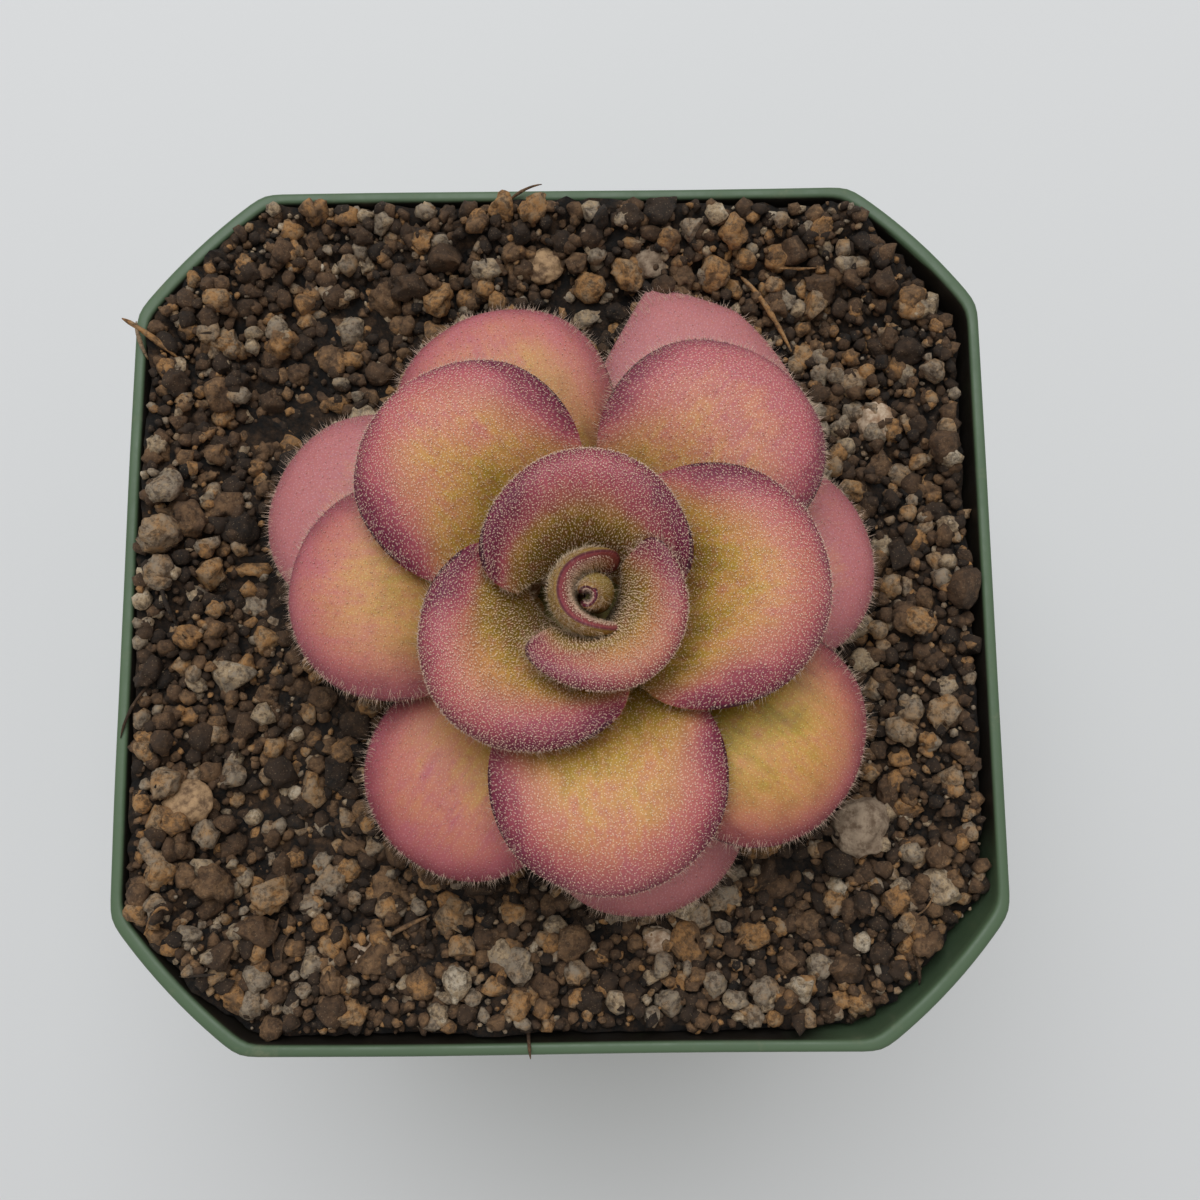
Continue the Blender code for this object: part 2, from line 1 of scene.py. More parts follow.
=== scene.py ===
# A butterwort in a square nursery pot: the leaves with their glands and hairs, the gritty mix
# with its loose grains, and the green plastic pot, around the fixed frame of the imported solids.
# Lengths in the dictionaries are in millimetres and colours are 0 to 255 as a screen shows them.
import math

import bmesh
import bpy
import numpy as np
from mathutils import Matrix, Vector


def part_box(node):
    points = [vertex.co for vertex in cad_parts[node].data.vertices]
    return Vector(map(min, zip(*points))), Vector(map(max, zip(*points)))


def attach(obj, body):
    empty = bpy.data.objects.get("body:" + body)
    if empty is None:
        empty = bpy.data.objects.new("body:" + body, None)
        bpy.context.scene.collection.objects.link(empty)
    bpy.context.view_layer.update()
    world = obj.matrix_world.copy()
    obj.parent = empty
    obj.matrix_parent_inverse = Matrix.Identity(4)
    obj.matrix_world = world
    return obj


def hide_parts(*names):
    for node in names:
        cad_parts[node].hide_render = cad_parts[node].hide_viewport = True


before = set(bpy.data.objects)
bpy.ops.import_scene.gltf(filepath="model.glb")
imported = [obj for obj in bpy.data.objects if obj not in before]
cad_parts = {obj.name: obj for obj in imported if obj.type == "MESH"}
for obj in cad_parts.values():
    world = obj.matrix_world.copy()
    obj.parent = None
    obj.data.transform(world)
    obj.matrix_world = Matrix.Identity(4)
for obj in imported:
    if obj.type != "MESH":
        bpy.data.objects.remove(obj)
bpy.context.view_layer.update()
mm = 0.001


# a colour given as a screen shows it, 0 to 255, as the linear values that a shader takes
def paint(red, green, blue):
    share = np.array([red, green, blue]) / 255.0
    linear = np.where(share <= 0.04045, share / 12.92, ((share + 0.055) / 1.055) ** 2.4)
    return (*[float(c) for c in linear], 1.0)


# 0 up to low, 1 from high, and t^2 (3 - 2t) between them
def smoothStep(value, low, high):
    t = np.clip((value - low) / (high - low), 0.0, 1.0)
    return t * t * (3 - 2 * t)


# large odd numbers that turn the corner of a cube, as three whole numbers, into a random value
cornerHash = np.array([73856093, 19349663, 83492791])
scramble = 1274126177


# noise from -1 to 1: random values on the corners of cubes of that size, blended by S curves
def latticeNoise(points, size, seed):
    place = points / size + seed * 17.31
    cell = np.floor(place).astype(np.int64)
    part = place - cell
    part = part * part * (3 - 2 * part)
    total = np.zeros(points.shape[:-1])
    for corner in range(8):
        offset = np.array([corner & 1, (corner >> 1) & 1, (corner >> 2) & 1])
        mixed = (cell + offset) @ cornerHash
        mixed = (mixed ^ (mixed >> 13)) * scramble
        mixed = (mixed ^ (mixed >> 16)) & 0xFFFF
        weight = np.prod(np.where(offset == 1, part, 1 - part), axis=-1)
        total += weight * (mixed / 32767.5 - 1)
    return total


# sum of noises, each half as large and half as strong as the one before
def roughNoise(points, size, seed, octaves):
    total = np.zeros(points.shape[:-1])
    for octave in range(octaves):
        total += latticeNoise(points, size / 2 ** octave, seed + octave) / 2 ** octave
    return total


# unit vectors
def unit(vectors):
    return vectors / np.maximum(np.linalg.norm(vectors, axis=-1, keepdims=True), 1e-12)


# unit vectors square to each direction, at that many even angles round it, from a helper axis
def aroundDirections(directions, count):
    helper = np.where(np.abs(directions[:, 2:3]) < 0.9, [[0.0, 0.0, 1.0]], [[1.0, 0.0, 0.0]])
    first = unit(np.cross(helper, directions))
    second = np.cross(directions, first)
    angle = 2 * np.pi * np.arange(count) / count
    return np.cos(angle)[:, None] * first[:, None] + np.sin(angle)[:, None] * second[:, None]


# quads of a grid of points, row by row, each row closed into a ring when wrapped
def gridQuads(rows, columns, wrapped):
    row, column = np.meshgrid(np.arange(rows - 1), np.arange(columns if wrapped else columns - 1),
                              indexing="ij")
    nextColumn = (column + 1) % columns
    quads = np.stack([row * columns + column, row * columns + nextColumn,
                      (row + 1) * columns + nextColumn, (row + 1) * columns + column], axis=-1)
    return quads.reshape(-1, 4)


# triangles from one point to a ring of points that begins at first
def fan(tip, first, count):
    ring = first + np.arange(count)
    return np.stack([np.full(count, tip), ring, first + (np.arange(count) + 1) % count], axis=-1)


# quads and end triangles of a closed skin: a point, rings of points one after another, a point
def closedSkin(rows, columns):
    last = rows * columns + 1
    quads = gridQuads(rows, columns, True) + 1
    tips = np.concatenate([fan(0, 1, columns)[:, ::-1], fan(last, last - columns, columns)])
    return quads, tips


# the faces of one small shape, again for each copy of its points
def repeatShape(shape, size, count):
    return (shape[None] + (np.arange(count) * size)[:, None, None]).reshape(-1, shape.shape[1])


# a new object in the scene
def addObject(name, data):
    added = bpy.data.objects.new(name, data)
    bpy.context.scene.collection.objects.link(added)
    return added


# a mesh object from arrays: faceSets is [(faces, material index)], and the attributes are one
# number for each point
def makePiece(name, points, faceSets, materials, attributes=None, uv=None):
    mesh = bpy.data.meshes.new(name)
    mesh.vertices.add(len(points))
    mesh.vertices.foreach_set("co", np.asarray(points, np.float32).ravel())
    corners = np.concatenate([faces.ravel() for faces, _ in faceSets]).astype(np.int32)
    sizes = np.concatenate([np.full(len(faces), faces.shape[1]) for faces, _ in faceSets])
    slots = np.concatenate([np.full(len(faces), index) for faces, index in faceSets])
    mesh.loops.add(len(corners))
    mesh.loops.foreach_set("vertex_index", corners)
    mesh.polygons.add(len(sizes))
    mesh.polygons.foreach_set("loop_start", (np.cumsum(sizes) - sizes).astype(np.int32))
    mesh.polygons.foreach_set("material_index", slots.astype(np.int32))
    mesh.update(calc_edges=True)
    for key, values in (attributes or {}).items():
        layer = mesh.attributes.new(key, "FLOAT", "POINT")
        layer.data.foreach_set("value", np.asarray(values, np.float32))
    if uv is not None:
        layer = mesh.uv_layers.new(name="leafMap")
        layer.data.foreach_set("uv", np.asarray(uv, np.float32)[corners].ravel())
    for material in materials:
        mesh.materials.append(material)
    mesh.shade_smooth()
    return addObject(name, mesh)


# adds a piece to the plant: it rides on the only body and may stand for nodes, which are hidden
def settle(piece, slot, *nodes):
    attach(piece, "root")
    if nodes:
        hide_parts(*nodes)


# Node helpers: each adds a node to a tree and gives its output, so a material reads as a formula

# links a socket, or sets a fixed value, for each input
def setInputs(made, values):
    for key, value in values.items():
        if isinstance(value, bpy.types.NodeSocket):
            made.id_data.links.new(value, made.inputs[key])
        else:
            made.inputs[key].default_value = value


# a new node of that kind with those settings and inputs
def addNode(tree, kind, output, values=None, **settings):
    made = tree.nodes.new("ShaderNode" + kind)
    for key, value in settings.items():
        setattr(made, key, value)
    setInputs(made, values or {})
    return made.outputs[output]


# one operation on two numbers, kept between 0 and 1 when clamped
def calc(tree, operation, first, second, clamp=False):
    return addNode(tree, "Math", 0, {0: first, 1: second}, operation=operation, use_clamp=clamp)


def times(tree, first, second):  # first x second
    return calc(tree, "MULTIPLY", first, second)


def plus(tree, first, second, clamp=False):  # first + second
    return calc(tree, "ADD", first, second, clamp)


def minus(tree, first, second, clamp=False):  # first - second
    return calc(tree, "SUBTRACT", first, second, clamp)


# the first colour at factor 0 and the second at 1
def blend(tree, factor, first, second, mode="MIX"):
    return addNode(tree, "Mix", 2, {0: factor, 6: first, 7: second}, data_type="RGBA",
                   blend_type=mode)


# first where the value is low, second where it is high, and an S curve between them
def remap(tree, value, low, high, first=0.0, second=1.0):
    return addNode(tree, "MapRange", 0, {"Value": value, "From Min": low, "From Max": high,
                                         "To Min": first, "To Max": second},
                   interpolation_type="SMOOTHSTEP")


# noise from 0 to 1
def cloud(tree, vector, scale, detail=3.0, roughness=0.55):
    return addNode(tree, "TexNoise", "Fac", {"Vector": vector, "Scale": scale, "Detail": detail,
                                             "Roughness": roughness})


# distance to the nearest of many random points
def cells(tree, vector, scale, dimensions="3D"):
    return addNode(tree, "TexVoronoi", "Distance", {"Vector": vector, "Scale": scale},
                   voronoi_dimensions=dimensions)


# colour by a factor from 0 to 1, straight from each (place, colour) to the next
def ramp(tree, factor, stops):
    made = tree.nodes.new("ShaderNodeValToRGB")
    band = made.color_ramp
    band.elements[0].position, band.elements[0].color = stops[0]
    band.elements[1].position, band.elements[1].color = stops[-1]
    for position, colour in stops[1:-1]:
        band.elements.new(position).color = colour
    setInputs(made, {"Fac": factor})
    return made.outputs["Color"]


# normals tilted by the slope of a height
def bump(tree, height, strength, distance):
    return addNode(tree, "Bump", "Normal", {"Height": height, "Strength": strength,
                                            "Distance": distance})


def readAttribute(tree, name):  # a number stored at each point
    return addNode(tree, "Attribute", "Fac", attribute_name=name)


def objectPlace(tree):  # place on the object, in metres
    return addNode(tree, "TexCoord", "Object")


# a node group with sockets of the kinds Vector, Float and Color, each with its names;
# fill(tree, inputs) adds its nodes and gives its outputs
def makeGroup(name, inputs, outputs, fill):
    tree = bpy.data.node_groups.new(name, "ShaderNodeTree")
    for side, kinds in (("INPUT", inputs), ("OUTPUT", outputs)):
        for kind, labels in kinds.items():
            for label in labels:
                tree.interface.new_socket(label, in_out=side, socket_type="NodeSocket" + kind)
    start = tree.nodes.new("NodeGroupInput")
    end = tree.nodes.new("NodeGroupOutput")
    for label, socket in fill(tree, start.outputs).items():
        tree.links.new(socket, end.inputs[label])
    return tree


# a group's node with those inputs; gives its outputs
def placeGroup(tree, group, values):
    made = tree.nodes.new("ShaderNodeGroup")
    made.node_tree = group
    setInputs(made, values)
    return made.outputs


# fill(tree) gives the linked inputs of the shader; the others are fixed values
def makeMaterial(name, fill, **fixedValues):
    material = bpy.data.materials.new(name)
    material.use_nodes = True
    shader = material.node_tree.nodes["Principled BSDF"]
    setInputs(shader, {**fixedValues, **fill(material.node_tree)})
    return material


# Leaf colours. Edge is the distance from the margin in mm, Along runs from 0 at the foot to 1 at
# the tip; Gold is how far out the yellow reaches, Blush the strength of the purple margin and
# Dust the paleness of an old leaf. The zone, rim and line end and are full at those distances, and
# blotches and streaks shift the ripening by their first share and the margin by their second.
leafLooks = {
    "deepOlive": paint(164, 148, 50), "olive": paint(194, 172, 68), "gold": paint(218, 180, 102),
    "apricot": paint(216, 156, 124), "salmon": paint(202, 130, 134), "rose": paint(186, 102, 116),
    "magenta": paint(116, 32, 70), "line": paint(66, 14, 42), "dust": paint(206, 161, 163),
    "under": paint(152, 148, 66), "cream": paint(255, 226, 200), "redden": paint(240, 216, 212),
    "rust": paint(174, 104, 76), "glandPitch": 0.27, "glandShare": 0.31,
    "glandContrast": (0.05, 0.42), "blotch": (0.75, 3.0), "streak": (0.42, 1.2),
    "streakScale": (0.22, 1.3, 1.0), "mottle": 0.32, "flush": 0.3,
    "zoneReach": (6.8, 0.8), "rimReach": (3.3, 0.2), "lineReach": (0.46, 0.22),
}


# the ramp of yellows runs along the leaf; over it lie rust mottling, the tone of the lower skin,
# the rose zone, the magenta rim and the dark line of the margin, and the dust
def fillLeafTint(tree, inputs):
    looks = leafLooks
    place = inputs["Position"]
    blotch = minus(tree, cloud(tree, place, 260.0, 4.0), 0.5)
    stretched = addNode(tree, "Mapping", 0, {"Vector": inputs["Map"], "Scale": looks["streakScale"]})
    streak = minus(tree, cloud(tree, stretched, 1.0, 3.0, 0.6), 0.5)
    shifted = []
    for start, kind in ((inputs["Along"], 0), (inputs["Edge"], 1)):
        start = plus(tree, start, times(tree, blotch, looks["blotch"][kind]))
        shifted.append(plus(tree, start, times(tree, streak, looks["streak"][kind])))
    ripe = minus(tree, shifted[0], inputs["Gold"], clamp=True)
    body = ramp(tree, ripe, [
        (0.22, looks["deepOlive"]), (0.35, looks["olive"]), (0.50, looks["gold"]),
        (0.69, looks["apricot"]), (0.88, looks["salmon"])])
    mottle = remap(tree, cloud(tree, place, 700.0, 5.0, 0.65), 0.5, 0.74, 0.0, looks["mottle"])
    body = blend(tree, mottle, body, looks["rust"])
    body = blend(tree, times(tree, inputs["Under"], 0.92), body, looks["under"])
    blush = times(tree, inputs["Blush"], minus(tree, 1.0, times(tree, inputs["Under"], 0.85)))
    flush = remap(tree, cloud(tree, place, 1100.0, 3.0, 0.6), 0.42, 0.7, 0.0, looks["flush"])
    zone = calc(tree, "MAXIMUM", remap(tree, shifted[1], *looks["zoneReach"]), flush)
    body = blend(tree, times(tree, zone, blush), body, looks["rose"])
    rim = times(tree, remap(tree, shifted[1], *looks["rimReach"]), 0.92)
    body = blend(tree, times(tree, rim, blush), body, looks["magenta"])
    line = times(tree, remap(tree, inputs["Edge"], *looks["lineReach"]), 0.9)
    body = blend(tree, times(tree, line, inputs["Blush"]), body, looks["line"])
    return {"Color": blend(tree, times(tree, inputs["Dust"], 0.75), body, looks["dust"])}


tintKeys = ("Edge", "Along", "Gold", "Blush", "Dust", "Under")
leafTint = makeGroup("leafTint", {"Vector": ["Position", "Map"], "Float": tintKeys},
                     {"Color": ["Color"]}, fillLeafTint)


# gland dots: 1 up to 0.35 of the size from the middle of each cell of a pattern on the leaf's own
# map, 0 from the size on
def fillGlandDots(tree, inputs):
    near = cells(tree, inputs["Map"], inputs["Density"], dimensions="2D")
    return {"Mask": remap(tree, near, inputs["Size"], times(tree, inputs["Size"], 0.35))}


glandDots = makeGroup("glandDots", {"Vector": ["Map"], "Float": ["Density", "Size"]},
                      {"Float": ["Mask"]}, fillGlandDots)


# the leaf tint of a material, the leaf's own map and the values that the tint is made from
def leafTintOf(tree):
    leafMap = addNode(tree, "UVMap", 0, uv_map="leafMap")
    values = {key: readAttribute(tree, key.lower()) for key in tintKeys}
    tint = placeGroup(tree, leafTint, {**values, "Position": objectPlace(tree), "Map": leafMap})
    return tint["Color"], leafMap, values


# the tint, paler in the gland dots and redder between them, with bumps of dots and pores
def fillLeafSkin(tree):
    tint, leafMap, values = leafTintOf(tree)
    looks = leafLooks
    dots = placeGroup(tree, glandDots, {"Map": leafMap, "Density": 1 / looks["glandPitch"],
                                        "Size": looks["glandShare"]})["Mask"]
    contrast = remap(tree, values["Blush"], 0.8, 1.0, *looks["glandContrast"])
    paler = blend(tree, contrast, tint, looks["cream"])
    deeper = blend(tree, 1.0, tint, looks["redden"], "MULTIPLY")
    pores = cloud(tree, leafMap, 9.0, 2.0)
    shown = times(tree, dots, remap(tree, pores, 0.3, 0.6, 0.35, 1.0))
    skin = plus(tree, times(tree, dots, 0.5), times(tree, pores, 0.5))
    return {"Base Color": blend(tree, shown, deeper, paler),
            "Roughness": remap(tree, dots, 0.0, 1.0, 0.55, 0.4),
            "Normal": bump(tree, skin, 0.5, 0.00006)}


# hairs and beads take the tint of the skin that they stand on, paler
def fillLeafHair(tree):
    tint, _, _ = leafTintOf(tree)
    return {"Base Color": blend(tree, readAttribute(tree, "frost"), tint, leafLooks["cream"])}


leafSkin = makeMaterial("leafSkin", fillLeafSkin, **{
    "Subsurface Weight": 0.3, "Subsurface Radius": (1.0, 0.65, 0.3), "Subsurface Scale": 0.0016,
    "Specular IOR Level": 0.4})
leafHair = makeMaterial("leafHair", fillLeafHair, **{"Roughness": 0.35, "Specular IOR Level": 0.5})

# The rosette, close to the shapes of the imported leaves. A row of blades gives: name, how far the
# azimuth strays from the spiral, reach, radius of the end, half width, furthest wrap in degrees,
# height of the tip; then gold, blush and dust, and the spacing of the beads. Rings are how many
# and how many points in each.
rosette = {
    "x": 2.6, "y": -1.0, "goldenAngle": 137.5, "firstAzimuth": 30.0, "spacing": 1.25,
    "crownTop": 75.6, "crownSag": 0.075, "lift": 0.4, "firstAge": 2, "bladeSteps": 17,
    "thickness": 1.5, "baseThickness": 0.7, "edgeThickness": 0.14, "rolledThinness": 0.45,
    "stalkHalfWidth": 1.35, "footEnd": 0.06, "pillow": (0.5, 0.9), "slant": 0.07,
    "uneven": 0.1, "unevenSize": 4.2, "innerEdgeShare": 1.5,
    "rings": (21, 84), "rolledRings": (26, 128), "crowding": 1.7, "marginPoints": 200,
}
blades = (
    ("leaf_03_cupped", 6.0, 8.3, 6.7, 9.0, 104.0, 89.9, 0.36, 1.0, 0.0, 0.26),
    ("leaf_04_cupped", 6.0, 11.2, 7.9, 9.0, 104.0, 89.3, 0.2, 1.35, 0.0, 0.27),
    ("leaf_05_cupped", 1.0, 14.7, 8.6, 9.5, 98.0, 88.3, 0.16, 1.2, 0.0, 0.28),
    ("leaf_06", 6.0, 19.9, 9.8, 10.5, 92.0, 87.0, 0.13, 1.1, 0.0, 0.35),
    ("leaf_07", -2.5, 23.4, 9.4, 10.5, 90.0, 86.2, 0.06, 1.2, 0.0, 0.38),
    ("leaf_08", 4.0, 24.2, 9.6, 10.5, 90.0, 85.2, 0.1, 1.05, 0.0, 0.42),
    ("leaf_09", 0.0, 25.9, 9.6, 10.5, 90.0, 84.2, -0.04, 1.05, 0.1, 0.46),
    ("leaf_10", -10.5, 25.2, 9.1, 10.5, 90.0, 83.0, 0.1, 0.8, 0.15, 0.5),
    ("leaf_11", -3.5, 27.0, 9.5, 10.5, 90.0, 82.0, 0.3, 0.75, 0.0, 0.54),
    ("leaf_12", 9.5, 27.9, 9.7, 10.5, 90.0, 80.9, 0.12, 0.7, 0.15, 0.6),
    ("leaf_13", -5.0, 26.3, 8.9, 10.5, 90.0, 79.8, 0.04, 0.75, 0.05, 0.6),
    ("leaf_14", -4.5, 25.9, 9.2, 10.5, 90.0, 78.2, -0.04, 0.6, 0.4, 0.7),
    ("leaf_15", 1.0, 30.4, 9.4, 10.5, 90.0, 77.0, -0.08, 0.6, 0.5, 0.7),
    ("leaf_16", -8.5, 27.2, 9.4, 10.5, 90.0, 76.0, -0.08, 0.6, 0.5, 0.7),
    ("leaf_17_blunt", -6.5, 31.6, 25.0, 8.5, 90.0, 75.4, -0.15, 0.5, 0.6, 0.7),
    ("leaf_18_old", 0.0, 17.0, 6.5, 10.0, 90.0, 75.2, 0.0, 0.5, 0.5, 0.9),
    ("leaf_19_old", 0.0, 19.0, 7.2, 10.0, 90.0, 74.3, 0.0, 0.5, 0.5, 0.9),
    ("leaf_20_old", 0.0, 19.0, 7.2, 10.0, 90.0, 73.7, 0.0, 0.5, 0.5, 0.9),
)
# a row of buds: name, azimuth, radius of the mouth, of the curve's two handles and of the foot,
# half angle of the roll, height of the mouth, shift, flare of the margins, share by which one
# margin rolls inside the other, how far the mouth leans along x and y, swelling of the inner skin,
# how many times nearer the margin's colours lie, and looks as for the blades
budKeys = ("name", "azimuth", "mouth", "upper", "lower", "foot", "roll", "top", "shift", "flare",
           "spiral", "lean", "swell", "edgeShare", "looks")
buds = (
    ("leaf_01_bud", 32.0, 0.85, 2.0, 1.1, 0.6, 175.0, 90.4, 0.8, 0.0, 0.35, (-0.6, -0.8), 0.2, 4.0,
     (0.2, 1.0, 0.0, 0.26)),
    ("leaf_02_funnel", 182.0, 2.6, 4.1, 1.3, 1.2, 134.0, 90.2, -0.45, 0.2, 0.0, (0.0, 0.0), 1.2, 2.4,
     (0.34, 0.72, 0.0, 0.24)),
)


# height of the crown's dome: its top, less sag times the square of the distance from the axis
def crownHeight(radius):
    return rosette["crownTop"] - rosette["crownSag"] * radius ** 2


# cubic curve through its two end points, with two handles
def bezier(points, t):
    a, b, c, d = [np.array(p) for p in points]
    t = t[..., None]
    return (1 - t) ** 3 * a + 3 * (1 - t) ** 2 * t * b + 3 * (1 - t) * t ** 2 * c + t ** 3 * d


# midrib of a blade in the plane (distance from the axis, height): it rises from the crown, more
# steeply on a young leaf, and droops at the tip
def bladeRib(age, reach, tip):
    base = rosette["spacing"] * math.sqrt(age + 0.5)
    low = crownHeight(base) + rosette["lift"]
    spread = min(1.0, (age - rosette["firstAge"]) / rosette["bladeSteps"])
    rise = math.radians(88 - 66 * spread ** 0.75)
    droop = math.radians(-72 + 50 * spread ** 0.6)
    first = 0.85 * (tip - low) / max(0.45, math.sin(rise))
    second = 0.42 * (reach - base) + 1.4
    return ((base, low), (base + first * math.cos(rise), low + first * math.sin(rise)),
            (reach - second * math.cos(droop), tip - second * math.sin(droop)), (reach, tip))


# half angle of a blade about the axis at each point of its midrib: a round end, sides no wider
# than the half width and wrapping no further than the wing angle, and a narrow stalk at the foot
def bladeSpread(reach, endRadius, halfWidth, wing):
    centre = reach - endRadius

    def halfAngle(radius, along):
        cosine = (radius ** 2 + centre ** 2 - endRadius ** 2) / (2 * radius * centre)
        disc = np.arccos(np.clip(cosine, -1.0, 1.0))
        side = np.arcsin(np.clip(halfWidth / radius, 0.0, 1.0))
        side = np.minimum(side, math.radians(wing) * smoothStep(along, -0.1, 0.5))
        blade = (np.maximum(disc, 1e-4) ** -7.0 + np.maximum(side, 1e-4) ** -7.0) ** (-1 / 7.0)
        stalk = rosette["stalkHalfWidth"] * (1 + smoothStep(along, 0.05, 0.45)) / radius
        stalk = stalk * (1 - smoothStep(along, 0.35, 0.75))
        end = np.sqrt(np.clip(along / rosette["footEnd"], 0.0, 1.0))
        return end * (blade ** 4 + stalk ** 4) ** 0.25

    return halfAngle


# half angle of a rolled leaf: it widens from a narrow foot and closes to a round lip
def rollSpread(roll):
    def halfAngle(radius, along):
        opening = smoothStep(along, -0.2, 0.6)
        lip = np.sqrt(np.clip(1 - along ** 9, 0.0, 1.0))
        end = np.sqrt(np.clip(along / rosette["footEnd"], 0.0, 1.0))
        return math.radians(roll) * opening * lip * end + 1e-4

    return halfAngle


# every leaf as one dictionary of the same keys; its seed is its place in the list
def leafList():
    leaves = []
    for row in buds:
        bud = dict(zip(budKeys, row))
        low = crownHeight(bud["foot"]) + rosette["lift"]
        height = bud["top"] - low
        rib = ((bud["foot"], low), (bud["lower"], low + 0.35 * height),
               (bud["upper"], low + 0.8 * height), (bud["mouth"], bud["top"]))
        leaves.append({**bud, "rib": rib, "spread": rollSpread(bud["roll"]), "slant": 0.0,
                       "pillow": 0.0, "thinness": rosette["rolledThinness"], "rolled": True})
    first, more = rosette["pillow"]
    for index, (name, stray, reach, endRadius, halfWidth, wing, tip, *looks) in enumerate(blades):
        age = index + rosette["firstAge"]
        azimuth = rosette["firstAzimuth"] + rosette["goldenAngle"] * age + stray
        leaves.append({"name": name, "azimuth": azimuth, "rib": bladeRib(age, reach, tip),
                       "spread": bladeSpread(reach, endRadius, halfWidth, wing), "shift": 0.0,
                       "flare": 0.0, "spiral": 0.0, "lean": (0.0, 0.0), "swell": 0.0,
                       "slant": rosette["slant"] if name.endswith("blunt") else 0.0,
                       "pillow": first + more * min(1.0, index / 4.0), "thinness": 1.0,
                       "edgeShare": rosette["innerEdgeShare"] if index == 0 else 1.0,
                       "looks": looks, "rolled": False})
    return [{**leaf, "seed": seed} for seed, leaf in enumerate(leaves)]


# points of a leaf's skin over the unit disc: p runs from base to tip, q across, side is 1 on the
# upper skin and -1 on the lower. The midrib is carried round the axis by q / sqrt(1 - p^2) times
# the half angle. Flare moves both margins of a rolled leaf out and spiral one of them in, slant
# shortens one side of a blade, the pillow lowers the margin along the normal, slow noise makes the
# skin uneven, swell thickens the upper skin and lean bends the tip aside.
def leafPoints(leaf, p, q, side):
    along = 0.5 * (0.5 + 0.5 * np.sin(0.5 * np.pi * p)) + 0.25 * (p + 1)
    point = bezier(leaf["rib"], along)
    step = 1e-3
    ahead = bezier(leaf["rib"], np.minimum(along + step, 1.0))
    ahead = unit(ahead - bezier(leaf["rib"], np.maximum(along - step, 0.0)))
    across = np.clip(q / np.sqrt(np.maximum(1e-6, 1 - p * p)), -1, 1)
    around = across * leaf["spread"](point[..., 0], along)
    flared = smoothStep(along, 0.3, 0.7) * (1 - smoothStep(along, 0.8, 0.97))
    radius = point[..., 0] * (1 + leaf["flare"] * across ** 4 * flared)
    radius = radius * (1 - leaf["spiral"] * (0.5 + 0.5 * across) * smoothStep(along, 0.2, 0.7))
    radius = radius * (1 + leaf["slant"] * np.minimum(across, 0.0) * smoothStep(along, 0.4, 0.9))
    c, s = np.cos(around), np.sin(around)
    normal = np.stack([-ahead[..., 1] * c, -ahead[..., 1] * s, ahead[..., 0]], axis=-1)
    middle = np.stack([radius * c + leaf["shift"], radius * s, point[..., 1]], axis=-1)
    ring = np.hypot(p, q)
    blade = smoothStep(along, 0.2, 0.65)
    roll = leaf["pillow"] * blade * (0.45 * ring ** 2 + 0.55 * ring ** 5)
    noise = roughNoise(middle, rosette["unevenSize"], 3 + leaf["seed"], 2)
    uneven = noise * rosette["uneven"] * (blade * leaf["thinness"])
    base, edge = rosette["baseThickness"], rosette["edgeThickness"]
    full = base + (rosette["thickness"] - base) * smoothStep(along, 0.15, 0.6)
    plump = np.sqrt(np.maximum(0.0, 1 - ring ** 2.5))
    thickness = (edge + (full - edge) * plump) * leaf["thinness"]
    swell = leaf["swell"] * plump * blade if side > 0 else 0.0
    skin = middle + normal * (uneven - roll + side * thickness / 2 + swell)[..., None]
    turn = math.radians(leaf["azimuth"])
    cosine, sine = math.cos(turn), math.sin(turn)
    bent = smoothStep(along, 0.65, 1.0)
    x = skin[..., 0] * cosine - skin[..., 1] * sine + rosette["x"] + leaf["lean"][0] * bent
    y = skin[..., 0] * sine + skin[..., 1] * cosine + rosette["y"] + leaf["lean"][1] * bent
    rib = bezier(leaf["rib"], np.linspace(0, 1, 60))
    ribLength = np.linalg.norm(np.diff(rib, axis=0), axis=1).sum()
    uv = np.stack([along * ribLength, around * point[..., 0]], axis=-1)
    return {"points": np.stack([x, y, skin[..., 2]], axis=-1) * mm, "along": along, "uv": uv}


# distance in mm of each point from the leaf's margin, times the leaf's edge share, and far from it
# near the hidden foot
def edgeDistance(leaf, points, along):
    angle = 2 * np.pi * np.arange(rosette["marginPoints"]) / rosette["marginPoints"]
    margin = leafPoints(leaf, np.cos(angle), np.sin(angle), 1)["points"]
    nearest = np.concatenate([
        np.linalg.norm(some[:, None] - margin[None], axis=-1).min(axis=1)
        for some in np.array_split(points, 1 + len(points) // 2000)])
    return nearest / mm * leaf["edgeShare"] + 6 * (1 - smoothStep(along, 0.3, 0.6))


# points of a skin, its unit outward normals and unit directions towards the margin, from points
# a small step further in and further round
def leafDirections(leaf, p, q, side):
    step = 2e-3
    ring = np.maximum(np.hypot(p, q), 1e-6)
    towards = leafPoints(leaf, p * (1 - step), q * (1 - step), side)["points"]
    here = leafPoints(leaf, p, q, side)["points"]
    turned = leafPoints(leaf, p - q / ring * step, q + p / ring * step, side)["points"]
    outward = unit(here - towards)
    normal = unit(np.cross(outward, turned - here)) * side
    return here, normal, outward


